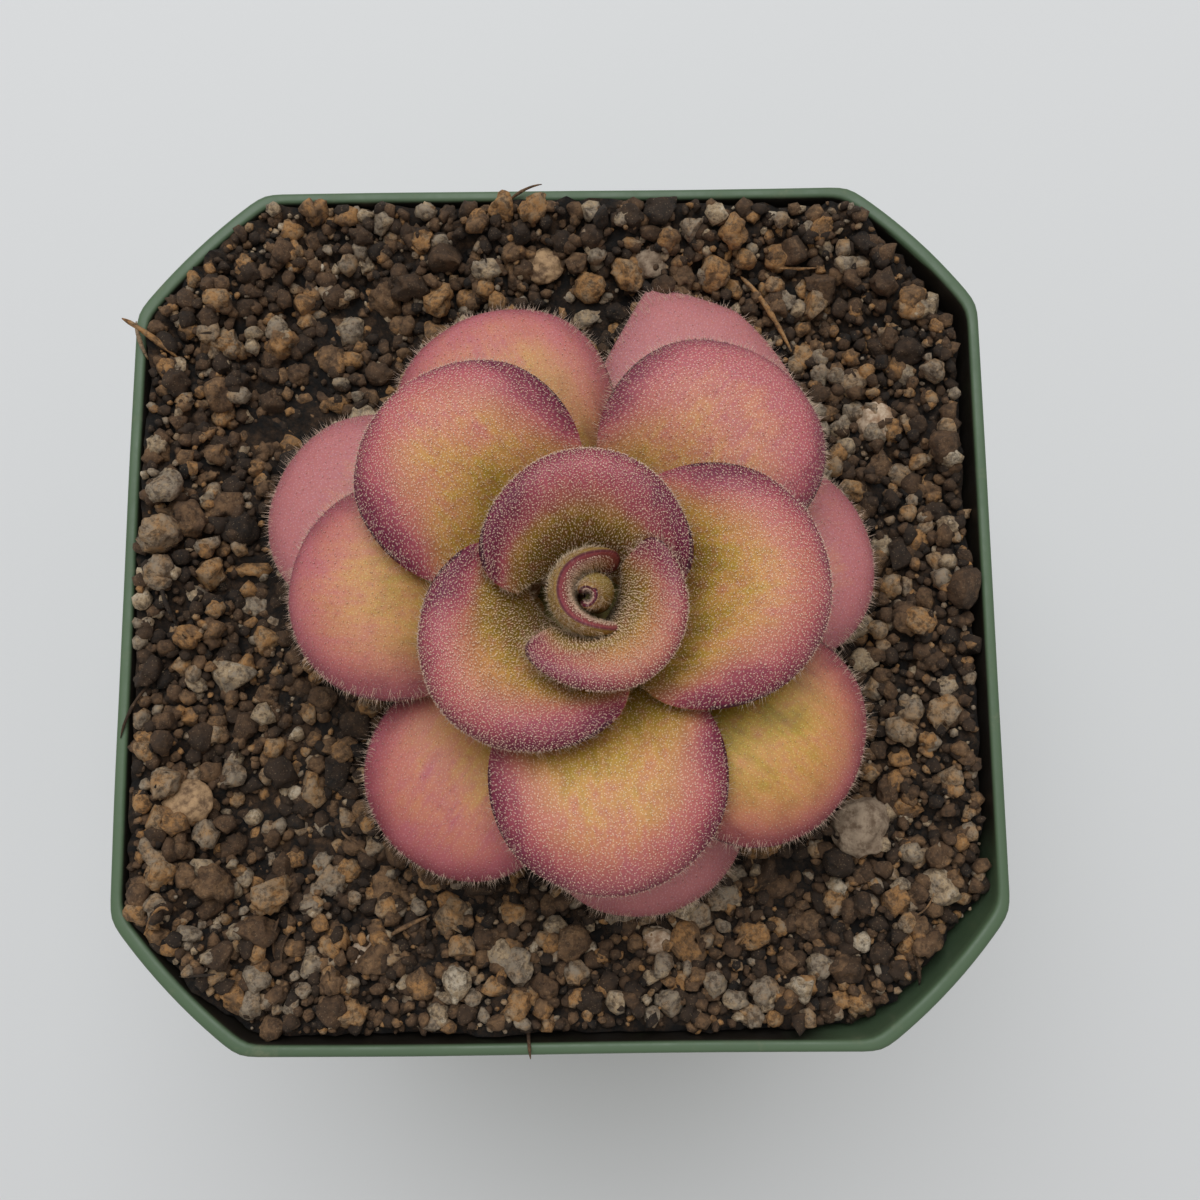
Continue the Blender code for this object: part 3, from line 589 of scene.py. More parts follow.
# a closed leaf: rings of the disc on the upper skin, then back on the lower skin
def leafSurface(leaf):
    rings, sides = rosette["rolledRings" if leaf["rolled"] else "rings"]
    ring = 1 - (1 - np.arange(rings + 1) / rings) ** rosette["crowding"]
    angle = 2 * np.pi * np.arange(sides) / sides
    p = ring[:, None] * np.cos(angle)
    q = ring[:, None] * np.sin(angle)
    upper = leafPoints(leaf, p, q, 1)
    lower = leafPoints(leaf, p, q, -1)
    fields = {}
    for key in ("points", "along", "uv"):
        top = [upper[key][0, :1], upper[key][1:].reshape(-1, *upper[key].shape[2:])]
        under = [lower[key][:0:-1].reshape(-1, *lower[key].shape[2:]), lower[key][0, :1]]
        fields[key] = np.concatenate(top + under)
    fields["under"] = (np.arange(len(fields["along"])) > rings * sides) * 1.0
    fields["edge"] = edgeDistance(leaf, fields["points"], fields["along"])
    return fields, [(faces[:, ::-1], 0) for faces in closedSkin(2 * rings, sides)]


# Beads and hairs: tries are random points for the beads, of which few are kept; a reach is how far
# out on the disc beads stand, a share is that of the hairs on the upper skin, and frost is how pale
# they are. The first leaves are the deep ones and the young ones, up to those counts.
hairs = {
    "rooted": 0.04, "beadRadius": 0.06, "beadHeight": 0.12, "deepHeight": 0.2, "beadTilt": 0.16,
    "tries": 90000, "beadReach": 0.985, "rolledReach": 0.97, "deepLeaves": 5, "youngLeaves": 8,
    "marginCount": 1400, "youngCount": 800, "oldCount": 400, "budCount": (600, 1700),
    "marginLength": 0.85, "radius": 0.016, "marginBand": 0.11, "upperShare": 0.6,
    "budLength": 0.5, "budRadius": 0.017, "budAcross": 0.9, "budAlong": (0.91, 0.61),
    "budUpperShare": 0.35, "frostBead": 0.7, "frostOuter": 0.22, "frostHair": 0.85,
    "frostYoung": 0.7, "frostBud": 0.7,
}


# points spread evenly over a skin: of many random points of the disc, the first in each cell of
# the leaf's map
def scatterOnLeaf(leaf, spacing, rng):
    reach = hairs["rolledReach" if leaf["rolled"] else "beadReach"]
    ring = np.sqrt(rng.random(hairs["tries"])) * reach
    angle = rng.random(hairs["tries"]) * 2 * np.pi
    p = ring * np.cos(angle)
    q = ring * np.sin(angle)
    uv = leafPoints(leaf, p, q, 1)["uv"] / spacing
    uv[:, 0] += 0.5 * (np.floor(uv[:, 1]) % 2)
    cell = np.floor(uv[:, 0]).astype(int) * 4096 + np.floor(uv[:, 1]).astype(int)
    kept = np.unique(cell, return_index=True)[1]
    return p[kept], q[kept]


# closed beads on short necks: a point at the foot, a ring of three near the top and a point above
def beadPoints(base, direction, height, radius):
    ring = ((base + direction * (height * 0.7)[:, None])[:, None]
            + radius[:, None, None] * aroundDirections(direction, 3))
    foot = base - direction * (hairs["rooted"] * mm)
    tip = base + direction * height[:, None]
    points = np.concatenate([foot[:, None], ring, tip[:, None]], axis=1)
    shape = np.array([(0, 2, 1), (0, 3, 2), (0, 1, 3), (4, 1, 2), (4, 2, 3), (4, 3, 1)])
    return points.reshape(-1, 3), repeatShape(shape, 5, len(base))


# closed hairs: a ring of three at the foot and a point that leans to one side
def hairPoints(base, direction, length, radius, bend):
    foot = (base - direction * (hairs["rooted"] * mm))[:, None]
    ring = foot + aroundDirections(direction, 3) * radius
    tip = base + direction * length[:, None] + bend * (length * 0.3)[:, None]
    points = np.concatenate([ring, tip[:, None]], axis=1)
    shape = np.array([(0, 2, 1), (0, 1, 3), (1, 2, 3), (2, 0, 3)])
    return points.reshape(-1, 3), repeatShape(shape, 4, len(base))


# beads all over the upper skin, longer deep in a cup, and hairs on both skins, along the margin
# of a blade or over the upper part of a rolled leaf. Each part gives points, faces, the places on
# the disc, points for each place, frost, and 1 for the lower skin.
def leafCoat(leaf):
    rng = np.random.default_rng(100 + leaf["seed"])
    p, q = scatterOnLeaf(leaf, leaf["looks"][3], rng)
    base, normal, _ = leafDirections(leaf, p, q, 1)
    tilt = unit(normal + rng.normal(0, hairs["beadTilt"], normal.shape))
    size = 0.7 + 0.6 * rng.random(len(p))
    height = np.full(len(p), hairs["beadHeight"])
    if leaf["seed"] < hairs["deepLeaves"]:
        edge = edgeDistance(leaf, base, np.ones(len(p)))
        height += (hairs["deepHeight"] - height) * smoothStep(edge, 1.8, 4.5)
    points, faces = beadPoints(base, tilt, height * mm * size, hairs["beadRadius"] * mm * size)
    young = leaf["seed"] < hairs["youngLeaves"]
    parts = [(points, faces, p, q, 5, hairs["frostBead" if young else "frostOuter"], 0.0)]
    if leaf["rolled"]:
        count = hairs["budCount"][leaf["seed"]]
        length, thickness, frost = hairs["budLength"], hairs["budRadius"], hairs["frostBud"]
        across = rng.uniform(-hairs["budAcross"], hairs["budAcross"], count)
        top, span = hairs["budAlong"]
        allP = top - span * rng.random(count) ** 1.2
        allQ = across * np.sqrt(1 - allP ** 2)
    else:
        old = leaf["name"].endswith("old")
        count = hairs["oldCount" if old else "youngCount" if young else "marginCount"]
        length, thickness = hairs["marginLength"], hairs["radius"]
        frost = hairs["frostYoung" if young else "frostHair"]
        angle = (rng.random(count) - 0.5) * 2 * np.pi * (1.0 if old else 0.8)
        ring = 1 - hairs["marginBand"] * rng.random(count) ** 1.5
        allP = ring * np.cos(angle)
        allQ = ring * np.sin(angle)
    upper = rng.random(count) < hairs["budUpperShare" if leaf["rolled"] else "upperShare"]
    for side, chosen in ((1, upper), (-1, ~upper)):
        p = allP[chosen]
        q = allQ[chosen]
        base, normal, outward = leafDirections(leaf, p, q, side)
        lean = rng.random(len(p))[:, None]
        direction = unit(outward * (0.35 + lean) + normal * (1.15 - lean * 0.8)
                         + rng.normal(0, 0.2, normal.shape))
        points, faces = hairPoints(base, direction, length * mm * (0.45 + 0.8 * rng.random(len(p))),
                                   thickness * mm, unit(rng.normal(0, 1, normal.shape)))
        parts.append((points, faces, p, q, 4, frost, float(side < 0)))
    return parts


# skin and coat as one mesh, with their places on the leaf and its looks as attributes
def makeLeaf(leaf):
    fields, faceSets = leafSurface(leaf)
    count = len(fields["along"])
    columns = {key: [values] for key, values in fields.items()}
    columns["frost"] = [np.zeros(count)]
    for points, faces, p, q, size, frost, under in leafCoat(leaf):
        faceSets.append((faces + count, 1))
        count += len(points)
        skin = leafPoints(leaf, p, q, 1)
        edge = edgeDistance(leaf, skin["points"], skin["along"])
        columns["points"].append(points)
        for key, values in (("uv", skin["uv"]), ("along", skin["along"]), ("edge", edge)):
            columns[key].append(np.repeat(values, size, axis=0))
        for key, value in (("frost", frost), ("under", under)):
            columns[key].append(np.full(len(points), value))
    attributes = {key: np.concatenate(values) for key, values in columns.items()}
    for key, value in zip(("gold", "blush", "dust"), leaf["looks"]):
        attributes[key] = np.full(count, value)
    points, uv = attributes.pop("points"), attributes.pop("uv")
    piece = makePiece(leaf["name"].replace("leaf_", "leafBlade_"), points, faceSets,
                      [leafSkin, leafHair], attributes, uv)
    settle(piece, "leaf_flesh", leaf["name"])
    return sum(len(faces) * (faces.shape[1] - 2) for faces, _ in faceSets)


print("leaves made:", sum(makeLeaf(leaf) for leaf in leafList()), "triangles")

# The pot: a square with cut, slightly bowed corners, 76 mm wide at the rim and 59 at the foot
pot = {
    "width": 76.0, "height": 76.0, "cornerCut": 0.148, "cornerBow": 0.009, "rimThickness": 1.0,
    "lipHeight": 8.0, "lipStep": 0.75, "wall": 0.8, "baseWidth": 59.0, "footRing": 5.0,
    "footHeight": 1.5, "base": 1.2, "drain": 6.5, "drainSpread": 14.0, "drainSides": 40,
    "notch": 6.0, "notchHeight": 1.05, "rounding": 0.35, "pointsPerSide": 34,
    "pointsPerCorner": 14, "slack": 0.12, "slackSize": 22.0, "rimWave": 0.05, "waveSize": 9.0,
    "sharpAngle": 38, "cornerSum": 1.72,
}
potLooks = {
    "green": paint(84, 106, 78), "deep": paint(62, 84, 60), "dust": paint(142, 138, 112),
    # the near black of the painted shade on the inside wall below the rim
    "paintedWallShade": paint(26, 21, 15), "roughness": (0.42, 0.62),
}


# shares of the way along a side, closer together near its ends
def easedShares(count, strength):
    t = np.linspace(0, 1, count, endpoint=False)[:, None]
    return strength * (0.5 - 0.5 * np.cos(np.pi * t)) + (1 - strength) * t


# outline of the pot for a half width of 1: sides and bowed corners, turned four times, then each
# point averaged twice with its neighbours, which rounds the corner points off
def potOutline():
    cut = 2 * pot["cornerCut"]
    start = np.array([1.0, 1 - cut])
    end = np.array([1 - cut, 1.0])
    t = easedShares(pot["pointsPerCorner"], 0.55)
    corner = start + (end - start) * t + 8 * pot["cornerBow"] * t * (1 - t) * math.sqrt(0.5)
    side = end + (np.array([cut - 1, 1.0]) - end) * easedShares(pot["pointsPerSide"], 0.6)
    quarter = np.concatenate([corner, side])
    turns = [np.array([[math.cos(a), math.sin(a)], [-math.sin(a), math.cos(a)]])
             for a in np.arange(4) * math.pi / 2]
    outline = np.concatenate([quarter @ turn for turn in turns])
    for _ in range(2):
        outline = (np.roll(outline, 1, axis=0) + outline + np.roll(outline, -1, axis=0)) / 3
    return outline


# distance from the axis in the measure of the outline, so that a wall has one value all round:
# the larger of x and y or, at a cut corner, their sum over the outline's own
def wallMeasure(x, y):
    corner = (np.abs(x) + np.abs(y)) / pot["cornerSum"]
    return np.maximum(np.maximum(np.abs(x), np.abs(y)), corner)


# half width of the pot's inside at a height
def innerHalf(height):
    low = pot["baseWidth"] / 2 - pot["wall"]
    top = pot["width"] / 2 - pot["rimThickness"]
    return low + (top - low) * height / pot["height"]


# points from one point to another, at those shares of the way
def wayPoints(start, end, shares):
    return np.array(start) + (np.array(end) - np.array(start)) * np.array(shares)[:, None]


# a quarter of the rim's rounding: about that half width, from that quarter turn on
def rimRound(halfWidth, quarter):
    angle = np.linspace(quarter, quarter + 1, 5) * math.pi / 2
    r = pot["rounding"]
    return np.stack([halfWidth + r * np.cos(angle), pot["height"] - r + r * np.sin(angle)], axis=-1)


# the pot's section from under the base, round the foot, up the outside, over the rim and down
# the inside, as (half width, height)
def potProfile():
    height, r = pot["height"], pot["rounding"]
    outer, foot = pot["width"] / 2, pot["baseWidth"] / 2
    inner = foot - pot["footRing"]
    lipLow = height - pot["lipHeight"]
    lipInner = innerHalf(lipLow) + pot["wall"]
    lipFoot = lipInner + pot["lipStep"]
    under = pot["footHeight"]
    floor = under + pot["base"]
    floorHalf = innerHalf(floor)
    return np.concatenate([
        wayPoints((0.0, under), (inner, under), (0.25, 0.5, 0.75, 0.93)),
        [(inner, under), (inner + 0.25, under - 0.6), (inner + 0.5, 0.25), (inner + 0.8, 0.0),
         (foot - 0.7, 0.0), (foot - 0.3, 0.15), (foot, 0.5)],
        wayPoints((foot, 0.5), (lipInner, lipLow), np.linspace(0.06, 0.97, 16)),
        [(lipInner, lipLow - 0.15), (lipInner + 0.1, lipLow), (lipFoot - 0.2, lipLow),
         (lipFoot, lipLow + 0.2)],
        wayPoints((lipFoot, lipLow + 0.2), (outer, height - r), np.linspace(0.15, 0.95, 5)),
        rimRound(outer - r, 0), rimRound(innerHalf(height) + r, 1),
        [(innerHalf(height - below), height - below) for below in (0.5, 0.8, 1.6)],
        wayPoints((floorHalf, floor), (innerHalf(height - r), height - r),
                  np.linspace(0.96, 0.06, 16)),
        [(floorHalf - 0.1, floor + 0.2), (floorHalf - 0.4, floor)],
        wayPoints((0.0, floor), (floorHalf, floor), (0.9, 0.7, 0.45, 0.2))])


# the pot as one closed surface, its section carried round the outline, with a slight waviness
# of the thin wall, less the drain holes and the notches in the foot; paintedWallShade is painted
# shade, near black on the inside wall below the rim and weaker in the front right corner
def makePot(material):
    rows = potProfile()
    outline = potOutline()
    x = rows[:, :1] * outline[:, 0]
    y = rows[:, :1] * outline[:, 1]
    z = np.repeat(rows[:, 1:], len(outline), axis=1)
    grid = np.stack([x, y, z], axis=-1)
    slack = latticeNoise(np.stack([x, y, z * 0.4], -1), pot["slackSize"], 5)
    slack = pot["slack"] * smoothStep(z, 8, 60) * slack
    grid[..., :2] *= (1 + slack[..., None] / (pot["width"] / 2))
    grid[..., 2] += pot["rimWave"] * smoothStep(z, 60, 76) * latticeNoise(grid, pot["waveSize"], 6)
    points = np.concatenate([[[0, 0, pot["footHeight"]]], grid.reshape(-1, 3),
                             [[0, 0, pot["footHeight"] + pot["base"]]]]) * mm
    faceSets = [(faces, 0) for faces in closedSkin(len(rows), len(outline))]
    shell = makePiece("potShell", points, faceSets, [material])
    cutters = potCutters()
    for cutter in cutters:
        modifier = shell.modifiers.new("cut", "BOOLEAN")
        modifier.operation = "DIFFERENCE"
        modifier.object = cutter
    bpy.context.view_layer.update()
    evaluated = shell.evaluated_get(bpy.context.evaluated_depsgraph_get())
    done = bpy.data.meshes.new_from_object(evaluated)
    shell.modifiers.clear()
    shell.data = done
    for cutter in cutters:
        bpy.data.objects.remove(cutter, do_unlink=True)
    done.set_sharp_from_angle(angle=math.radians(pot["sharpAngle"]))
    place = np.empty(len(done.vertices) * 3)
    done.vertices.foreach_get("co", place)
    x, y, z = place.reshape(-1, 3).T / mm
    # painted shade: the inside wall below the rim is darkened, less in the front right corner
    inside = wallMeasure(x, y) < innerHalf(z) + 0.3
    corner = smoothStep((x - y) / innerHalf(z), 1.5, 1.68)
    paintedWallShade = inside * smoothStep(z, 75.95, 75.6) * (1 - 0.75 * corner)
    layer = done.attributes.new("paintedWallShade", "FLOAT", "POINT")
    layer.data.foreach_set("value", paintedWallShade.astype(np.float32))
    settle(shell, "pot_plastic", "pot")


# round cutters for the drain holes and square ones for the notches
def potCutters():
    cutters = []
    middle = pot["footHeight"] + pot["base"] / 2
    for i, (x, y) in enumerate(((0, 0), (1, 1), (-1, 1), (-1, -1), (1, -1))):
        place = np.array([x * pot["drainSpread"], y * pot["drainSpread"], middle]) * mm
        cutters.append(cutterOf("drain%d" % i, bmesh.ops.create_cone, cap_ends=True,
                                segments=pot["drainSides"], radius1=pot["drain"] / 2 * mm,
                                radius2=pot["drain"] / 2 * mm, depth=4 * mm,
                                matrix=Matrix.Translation(place)))
    reach = (pot["baseWidth"] - pot["footRing"]) / 2
    for i in range(4):
        turn = i * math.pi / 2
        place = np.array([reach * math.cos(turn), reach * math.sin(turn), 0]) * mm
        size = Matrix.Diagonal((2 * pot["footRing"] * mm, pot["notch"] * mm,
                                2 * pot["notchHeight"] * mm, 1))
        stand = Matrix.Translation(place) @ Matrix.Rotation(turn, 4, "Z") @ size
        cutters.append(cutterOf("notch%d" % i, bmesh.ops.create_cube, size=1.0, matrix=stand))
    return cutters


# an object to cut with, from one of bmesh's own shapes
def cutterOf(name, create, **sizes):
    tool = bmesh.new()
    create(tool, **sizes)
    mesh = bpy.data.meshes.new(name)
    tool.to_mesh(mesh)
    tool.free()
    return addObject(name, mesh)


# green with deeper patches, dust where the scuffs are strong, and painted shade on the inside wall
# below the rim, made a little uneven by the scuffs
def fillPotPlastic(tree):
    place = objectPlace(tree)
    slow = cloud(tree, place, 40.0, 3.0)
    fine = cloud(tree, place, 900.0, 3.0, 0.6)
    scuffs = cloud(tree, place, 220.0, 6.0, 0.7)
    looks = potLooks
    body = blend(tree, remap(tree, slow, 0.3, 0.7, 0.6, 1.0), looks["deep"], looks["green"])
    body = blend(tree, times(tree, remap(tree, scuffs, 0.56, 0.78), 0.35), body, looks["dust"])
    # painted shade on the inside wall, made a little uneven by the scuffs
    shadeUnevenness = remap(tree, scuffs, 0.25, 0.5, 0.9, 1.0)
    body = blend(tree, times(tree, readAttribute(tree, "paintedWallShade"), shadeUnevenness), body, looks["paintedWallShade"])
    return {"Base Color": body, "Roughness": remap(tree, scuffs, 0.35, 0.7, *looks["roughness"]),
            "Normal": bump(tree, fine, 0.35, 0.00005)}


potPlastic = makeMaterial("potPlastic", fillPotPlastic)
makePot(potPlastic)
print("pot made")

# The mix: a crust with lumps over the packed soil, and loose grains in and on it. Rise and edgeRise
# are how much higher it is at the back and left walls and at the front and right ones; the moat is
# the depth of the gap along the front and right walls, and the skirt closes the crust below.
soil = {
    "top": 72.0, "rise": 4.1, "edgeRise": 2.8, "cornerSink": 1.1, "wallZone": 0.66,
    "gap": 0.25, "rings": 78, "lump": 1.25, "lumpSize": 3.6, "crumb": 1.1, "crumbSize": 1.1,
    "moat": 1.2, "moatWidth": (0.97, 0.998), "skirt": 2.2, "skirtShare": 0.996,
}
soilLooks = {
    "black": paint(24, 18, 13), "peat": paint(58, 42, 28), "umber": paint(100, 74, 51),
    "bark": paint(136, 104, 72), "tan": paint(166, 134, 98), "sand": paint(182, 156, 122),
    "grey": paint(152, 138, 120), "pale": paint(204, 188, 164), "pit": paint(16, 11, 8),
    "amber": paint(176, 128, 76),
}


# level of the soil: it rises towards the walls, less at the front and right than at the back and
# left, sinks in the corner between front and right, and has a gap along the front and right walls
def soilLevel(x, y):
    half = innerHalf(pot["height"])
    wall = wallMeasure(x, y) / half
    front = smoothStep((x - y) / half, -0.25, 0.25)
    level = smoothStep(wall, soil["wallZone"], 1.0)
    level = level * (soil["rise"] * (1 - front) + soil["edgeRise"] * front)
    level -= soil["cornerSink"] * smoothStep((x - y) / half, 1.35, 1.7)
    return soil["top"] + level - soil["moat"] * front * smoothStep(wall, *soil["moatWidth"])


# fine height of the crust: level, slow lumps, and crumbs as the size of a finer noise, all flat
# round the crown
def crustHeight(x, y):
    flat = np.stack([x, y, np.zeros_like(x)], axis=-1)
    lumps = roughNoise(flat, soil["lumpSize"], 11, 2) * soil["lump"]
    crumbs = np.abs(roughNoise(flat, soil["crumbSize"], 17, 3)) * soil["crumb"]
    near = np.hypot(x - rosette["x"], y - rosette["y"])
    return soilLevel(x, y) + (lumps + crumbs - 0.5) * smoothStep(near, 6.0, 12.0) - 0.15


# the crust as one closed surface: the pot's outline with twice its points, in rings that shrink to
# the middle, at the crust's height, over a skirt and a flat cone
def makeCrust(material):
    outline = potOutline()
    middles = (outline + np.roll(outline, -1, axis=0)) / 2
    outline = np.stack([outline, middles], axis=1).reshape(-1, 2)
    rings = soil["rings"]
    half = innerHalf(soil["top"]) - soil["gap"]
    share = (1 - (np.arange(rings) / rings))[:, None]
    x = share * half * outline[:, 0]
    y = share * half * outline[:, 1]
    top = np.stack([x, y, crustHeight(x, y)], axis=-1)
    top[0, :, :2] *= ((innerHalf(top[0, :, 2]) - soil["gap"]) / half)[:, None]
    under = top[0] * [soil["skirtShare"], soil["skirtShare"], 1.0] - [0, 0, soil["skirt"]]
    centre = crustHeight(np.zeros(1), np.zeros(1))[0]
    points = np.concatenate([[[0, 0, centre - soil["skirt"]]], under, top.reshape(-1, 3),
                             [[0, 0, centre]]]) * mm
    faceSets = [(faces, 0) for faces in closedSkin(rings + 1, len(outline))]
    settle(makePiece("soilCrust", points, faceSets, [material]), "soil_mix")


# black to bark colours by a rough noise, with bumps of a finer one
def fillCrust(tree):
    place = objectPlace(tree)
    looks = soilLooks
    body = ramp(tree, cloud(tree, place, 520.0, 6.0, 0.75), [
        (0.34, looks["pit"]), (0.44, looks["black"]), (0.54, looks["peat"]),
        (0.66, looks["umber"]), (0.8, looks["bark"])])
    rough = cloud(tree, place, 2200.0, 6.0, 0.8)
    return {"Base Color": body, "Normal": bump(tree, rough, 1.0, 0.0007)}


# one colour for each grain, from its tone, then darker pits and pale flecks
def fillGrainTint(tree, inputs):
    looks = soilLooks
    place = inputs["Position"]
    patch = minus(tree, cloud(tree, place, 620.0, 5.0, 0.75), 0.5)
    body = ramp(tree, plus(tree, inputs["Tone"], times(tree, patch, 0.7), clamp=True), [
        (0.0, looks["black"]), (0.18, looks["peat"]), (0.36, looks["umber"]),
        (0.50, looks["bark"]), (0.58, looks["amber"]), (0.66, looks["tan"]),
        (0.80, looks["grey"]), (0.90, looks["sand"]), (1.0, looks["pale"])])
    pits = cloud(tree, place, 1500.0, 5.0, 0.75)
    body = blend(tree, times(tree, remap(tree, pits, 0.56, 0.36), 0.75), body, looks["peat"])
    flecks = remap(tree, cells(tree, place, 3600.0), 0.24, 0.1)
    body = blend(tree, times(tree, flecks, 0.3), body, looks["sand"])
    return {"Color": body, "Height": pits}


grainTint = makeGroup("grainTint", {"Vector": ["Position"], "Float": ["Tone"]},
                      {"Color": ["Color"], "Float": ["Height"]}, fillGrainTint)


# the grain tint, from the tone of each grain, with its bumps
def fillGrain(tree):
    tint = placeGroup(tree, grainTint, {"Position": objectPlace(tree),
                                        "Tone": readAttribute(tree, "tone")})
    return {"Base Color": tint["Color"], "Normal": bump(tree, tint["Height"], 1.0, 0.0004)}


soilMix = makeMaterial("soilMix", fillCrust, Roughness=0.9)
grainMix = makeMaterial("grainMix", fillGrain, Roughness=0.82)
makeCrust(soilMix)


# points and faces of a ball of triangles of radius 1
def ballShape(subdivisions):
    ball = bmesh.new()
    bmesh.ops.create_icosphere(ball, subdivisions=subdivisions, radius=1.0)
    points = np.array([v.co[:] for v in ball.verts])
    faces = np.array([[v.index for v in f.verts] for f in ball.faces])
    ball.free()
    return points, faces


# random turns about any axis, from unit quaternions
def randomTurns(count, rng):
    w, x, y, z = unit(rng.normal(0, 1, (count, 4))).T
    return np.stack([
        np.stack([1 - 2 * (y * y + z * z), 2 * (x * y - z * w), 2 * (x * z + y * w)], -1),
        np.stack([2 * (x * y + z * w), 1 - 2 * (x * x + z * z), 2 * (y * z - x * w)], -1),
        np.stack([2 * (x * z - y * w), 2 * (y * z + x * w), 1 - 2 * (x * x + y * y)], -1)], -2)


# how the grains are made: the gap that they keep from the crown, the ring under the leaves where
# only a share lie, the size of noise that dents them and its depth, the most that they are
# flattened, their flat cuts and where those lie on the ball
grainDetails = {
    "clear": 7.0, "thinned": 17.0, "thinShare": 0.45, "dent": 0.45, "stretch": 0.42, "cuts": 5,
    "cutPlace": (0.4, 0.8), "jitter": 0.55,
}
grains = {
    # name: pitch, smallest and largest size, subdivisions, depth sunk as a share, darkest and
    # lightest tone, seed
    "peatCrumbs": (1.08, 1.0, 2.2, 1, 0.2, 0.0, 0.5, 40),
    "gritFine": (1.06, 0.5, 1.3, 1, 0.1, 0.1, 0.98, 41),
    "gritMiddle": (1.56, 1.3, 2.8, 2, 0.2, 0.04, 0.98, 42),
    "gritCoarse": (3.2, 2.4, 4.2, 3, 0.25, 0.04, 0.98, 43),
}


# a ball for each grain, dented by noise, stretched by three random shares, cut flat on a few
# random sides and turned at random
def grainPoints(places, sizes, subdivisions, rng):
    ball, faces = ballShape(subdivisions)
    count = len(places)
    own = rng.random((count, 1, 3)) * 50
    noise = np.abs(roughNoise(ball[None] * 1.3 + own * 1.3, 1.0, 31, 3))
    dent = 1 + grainDetails["dent"] * (0.4 - 1.3 * noise)
    made = ball[None] * dent[..., None] * (1 - grainDetails["stretch"] * rng.random((count, 1, 3)))
    for _ in range(grainDetails["cuts"]):
        facing = unit(rng.normal(0, 1, (count, 1, 3)))
        reach = rng.uniform(*grainDetails["cutPlace"], (count, 1, 1))
        past = (made * facing).sum(axis=-1, keepdims=True) - reach
        made = made - np.maximum(past, 0.0) * facing
    made = np.einsum("nij,nkj->nki", randomTurns(count, rng), made)
    made = made * (sizes / 2)[:, None, None] + places[:, None]
    return made.reshape(-1, 3), repeatShape(faces, len(ball), count), len(ball)


# places on the soil: a jittered grid of that pitch inside the walls, thinned out under the leaves
# and clear of the crown; grains may lie over the back and left rim but keep off the gap
def grainPlaces(pitch, rng, margin):
    steps = int(2 * innerHalf(pot["height"]) / pitch) + 2
    axis = (np.arange(steps) - (steps - 1) / 2) * pitch
    x, y = [part.ravel() for part in np.meshgrid(axis, axis)]
    jitter = grainDetails["jitter"]
    x = x + rng.uniform(-jitter, jitter, x.size) * pitch
    y = y + rng.uniform(-jitter, jitter, y.size) * pitch
    half = innerHalf(soil["top"])
    front = smoothStep((x - y) / half, -0.2, 0.2)
    ragged = latticeNoise(np.stack([x, y, np.zeros_like(x)], -1), 4.0, 61)
    inside = wallMeasure(x, y) < half + 0.1 - margin * (0.4 + front * (0.35 + 0.5 * ragged))
    away = np.hypot(x - rosette["x"], y - rosette["y"])
    inside &= away > grainDetails["clear"]
    inside &= (away > grainDetails["thinned"]) | (rng.random(x.size) < grainDetails["thinShare"])
    return x[inside], y[inside]


# one piece of many grains: small ones more often than large ones, each on the crust, part sunk
def makeGrains(name, pitch, smallest, largest, subdivisions, sunk, darkest, lightest, seed):
    rng = np.random.default_rng(seed)
    x, y = grainPlaces(pitch, rng, 0.3 + smallest / 2)
    sizes = smallest + (largest - smallest) * rng.random(len(x)) ** 1.6
    z = crustHeight(x, y) + sizes * (0.5 - sunk) * 0.7 + rng.random(len(x)) * 0.35 - 0.1
    tone = darkest + (lightest - darkest) * rng.beta(1.5, 1.6, len(x))
    points, faces, each = grainPoints(np.stack([x, y, z], -1), sizes, subdivisions, rng)
    attributes = {"tone": np.repeat(tone, each)}
    settle(makePiece(name, points * mm, [(faces, 0)], [grainMix], attributes), "soil_mix")
    return len(faces)


print("grains made:", sum(makeGrains(name, *row) for name, row in grains.items()), "triangles")

# Fibres of bark that stick out of the mix and over the rim: tone, thickness, and three places
# that a curve starts from, bends towards and ends at; then a count of random ones
fibres = (
    (0.55, 0.55, (-34.2, 22.6, 75.2), (-36.6, 24.6, 77.4), (-38.8, 25.8, 76.9)),
    (0.7, 0.4, (-36.8, 22.4, 75.6), (-37.4, 24.0, 77.2), (-37.6, 25.6, 76.7)),
    (0.45, 0.3, (-6.0, 35.5, 75.0), (-3.7, 37.8, 76.9), (-1.2, 38.1, 76.9)),
    (0.3, 0.3, (-2.9, -35.6, 72.6), (-2.6, -36.8, 76.6), (-2.4, -38.1, 76.8)),
    (0.6, 0.55, (17.0, 30.5, 73.6), (19.0, 28.0, 75.0), (21.4, 23.0, 74.2)),
    (0.5, 0.45, (10.5, -31.5, 72.2), (12.6, -33.0, 73.4), (14.6, -35.0, 71.8)),
    (0.2, 0.3, (-34.0, -5.0, 74.6), (-36.8, -8.0, 76.8), (-37.6, -11.5, 76.1)),
)
fibreDetails = {
    "count": 26, "length": 5.0, "height": 1.6, "pitch": 6.0, "margin": 1.2, "seed": 77,
    "steps": 14, "sides": 6,
}


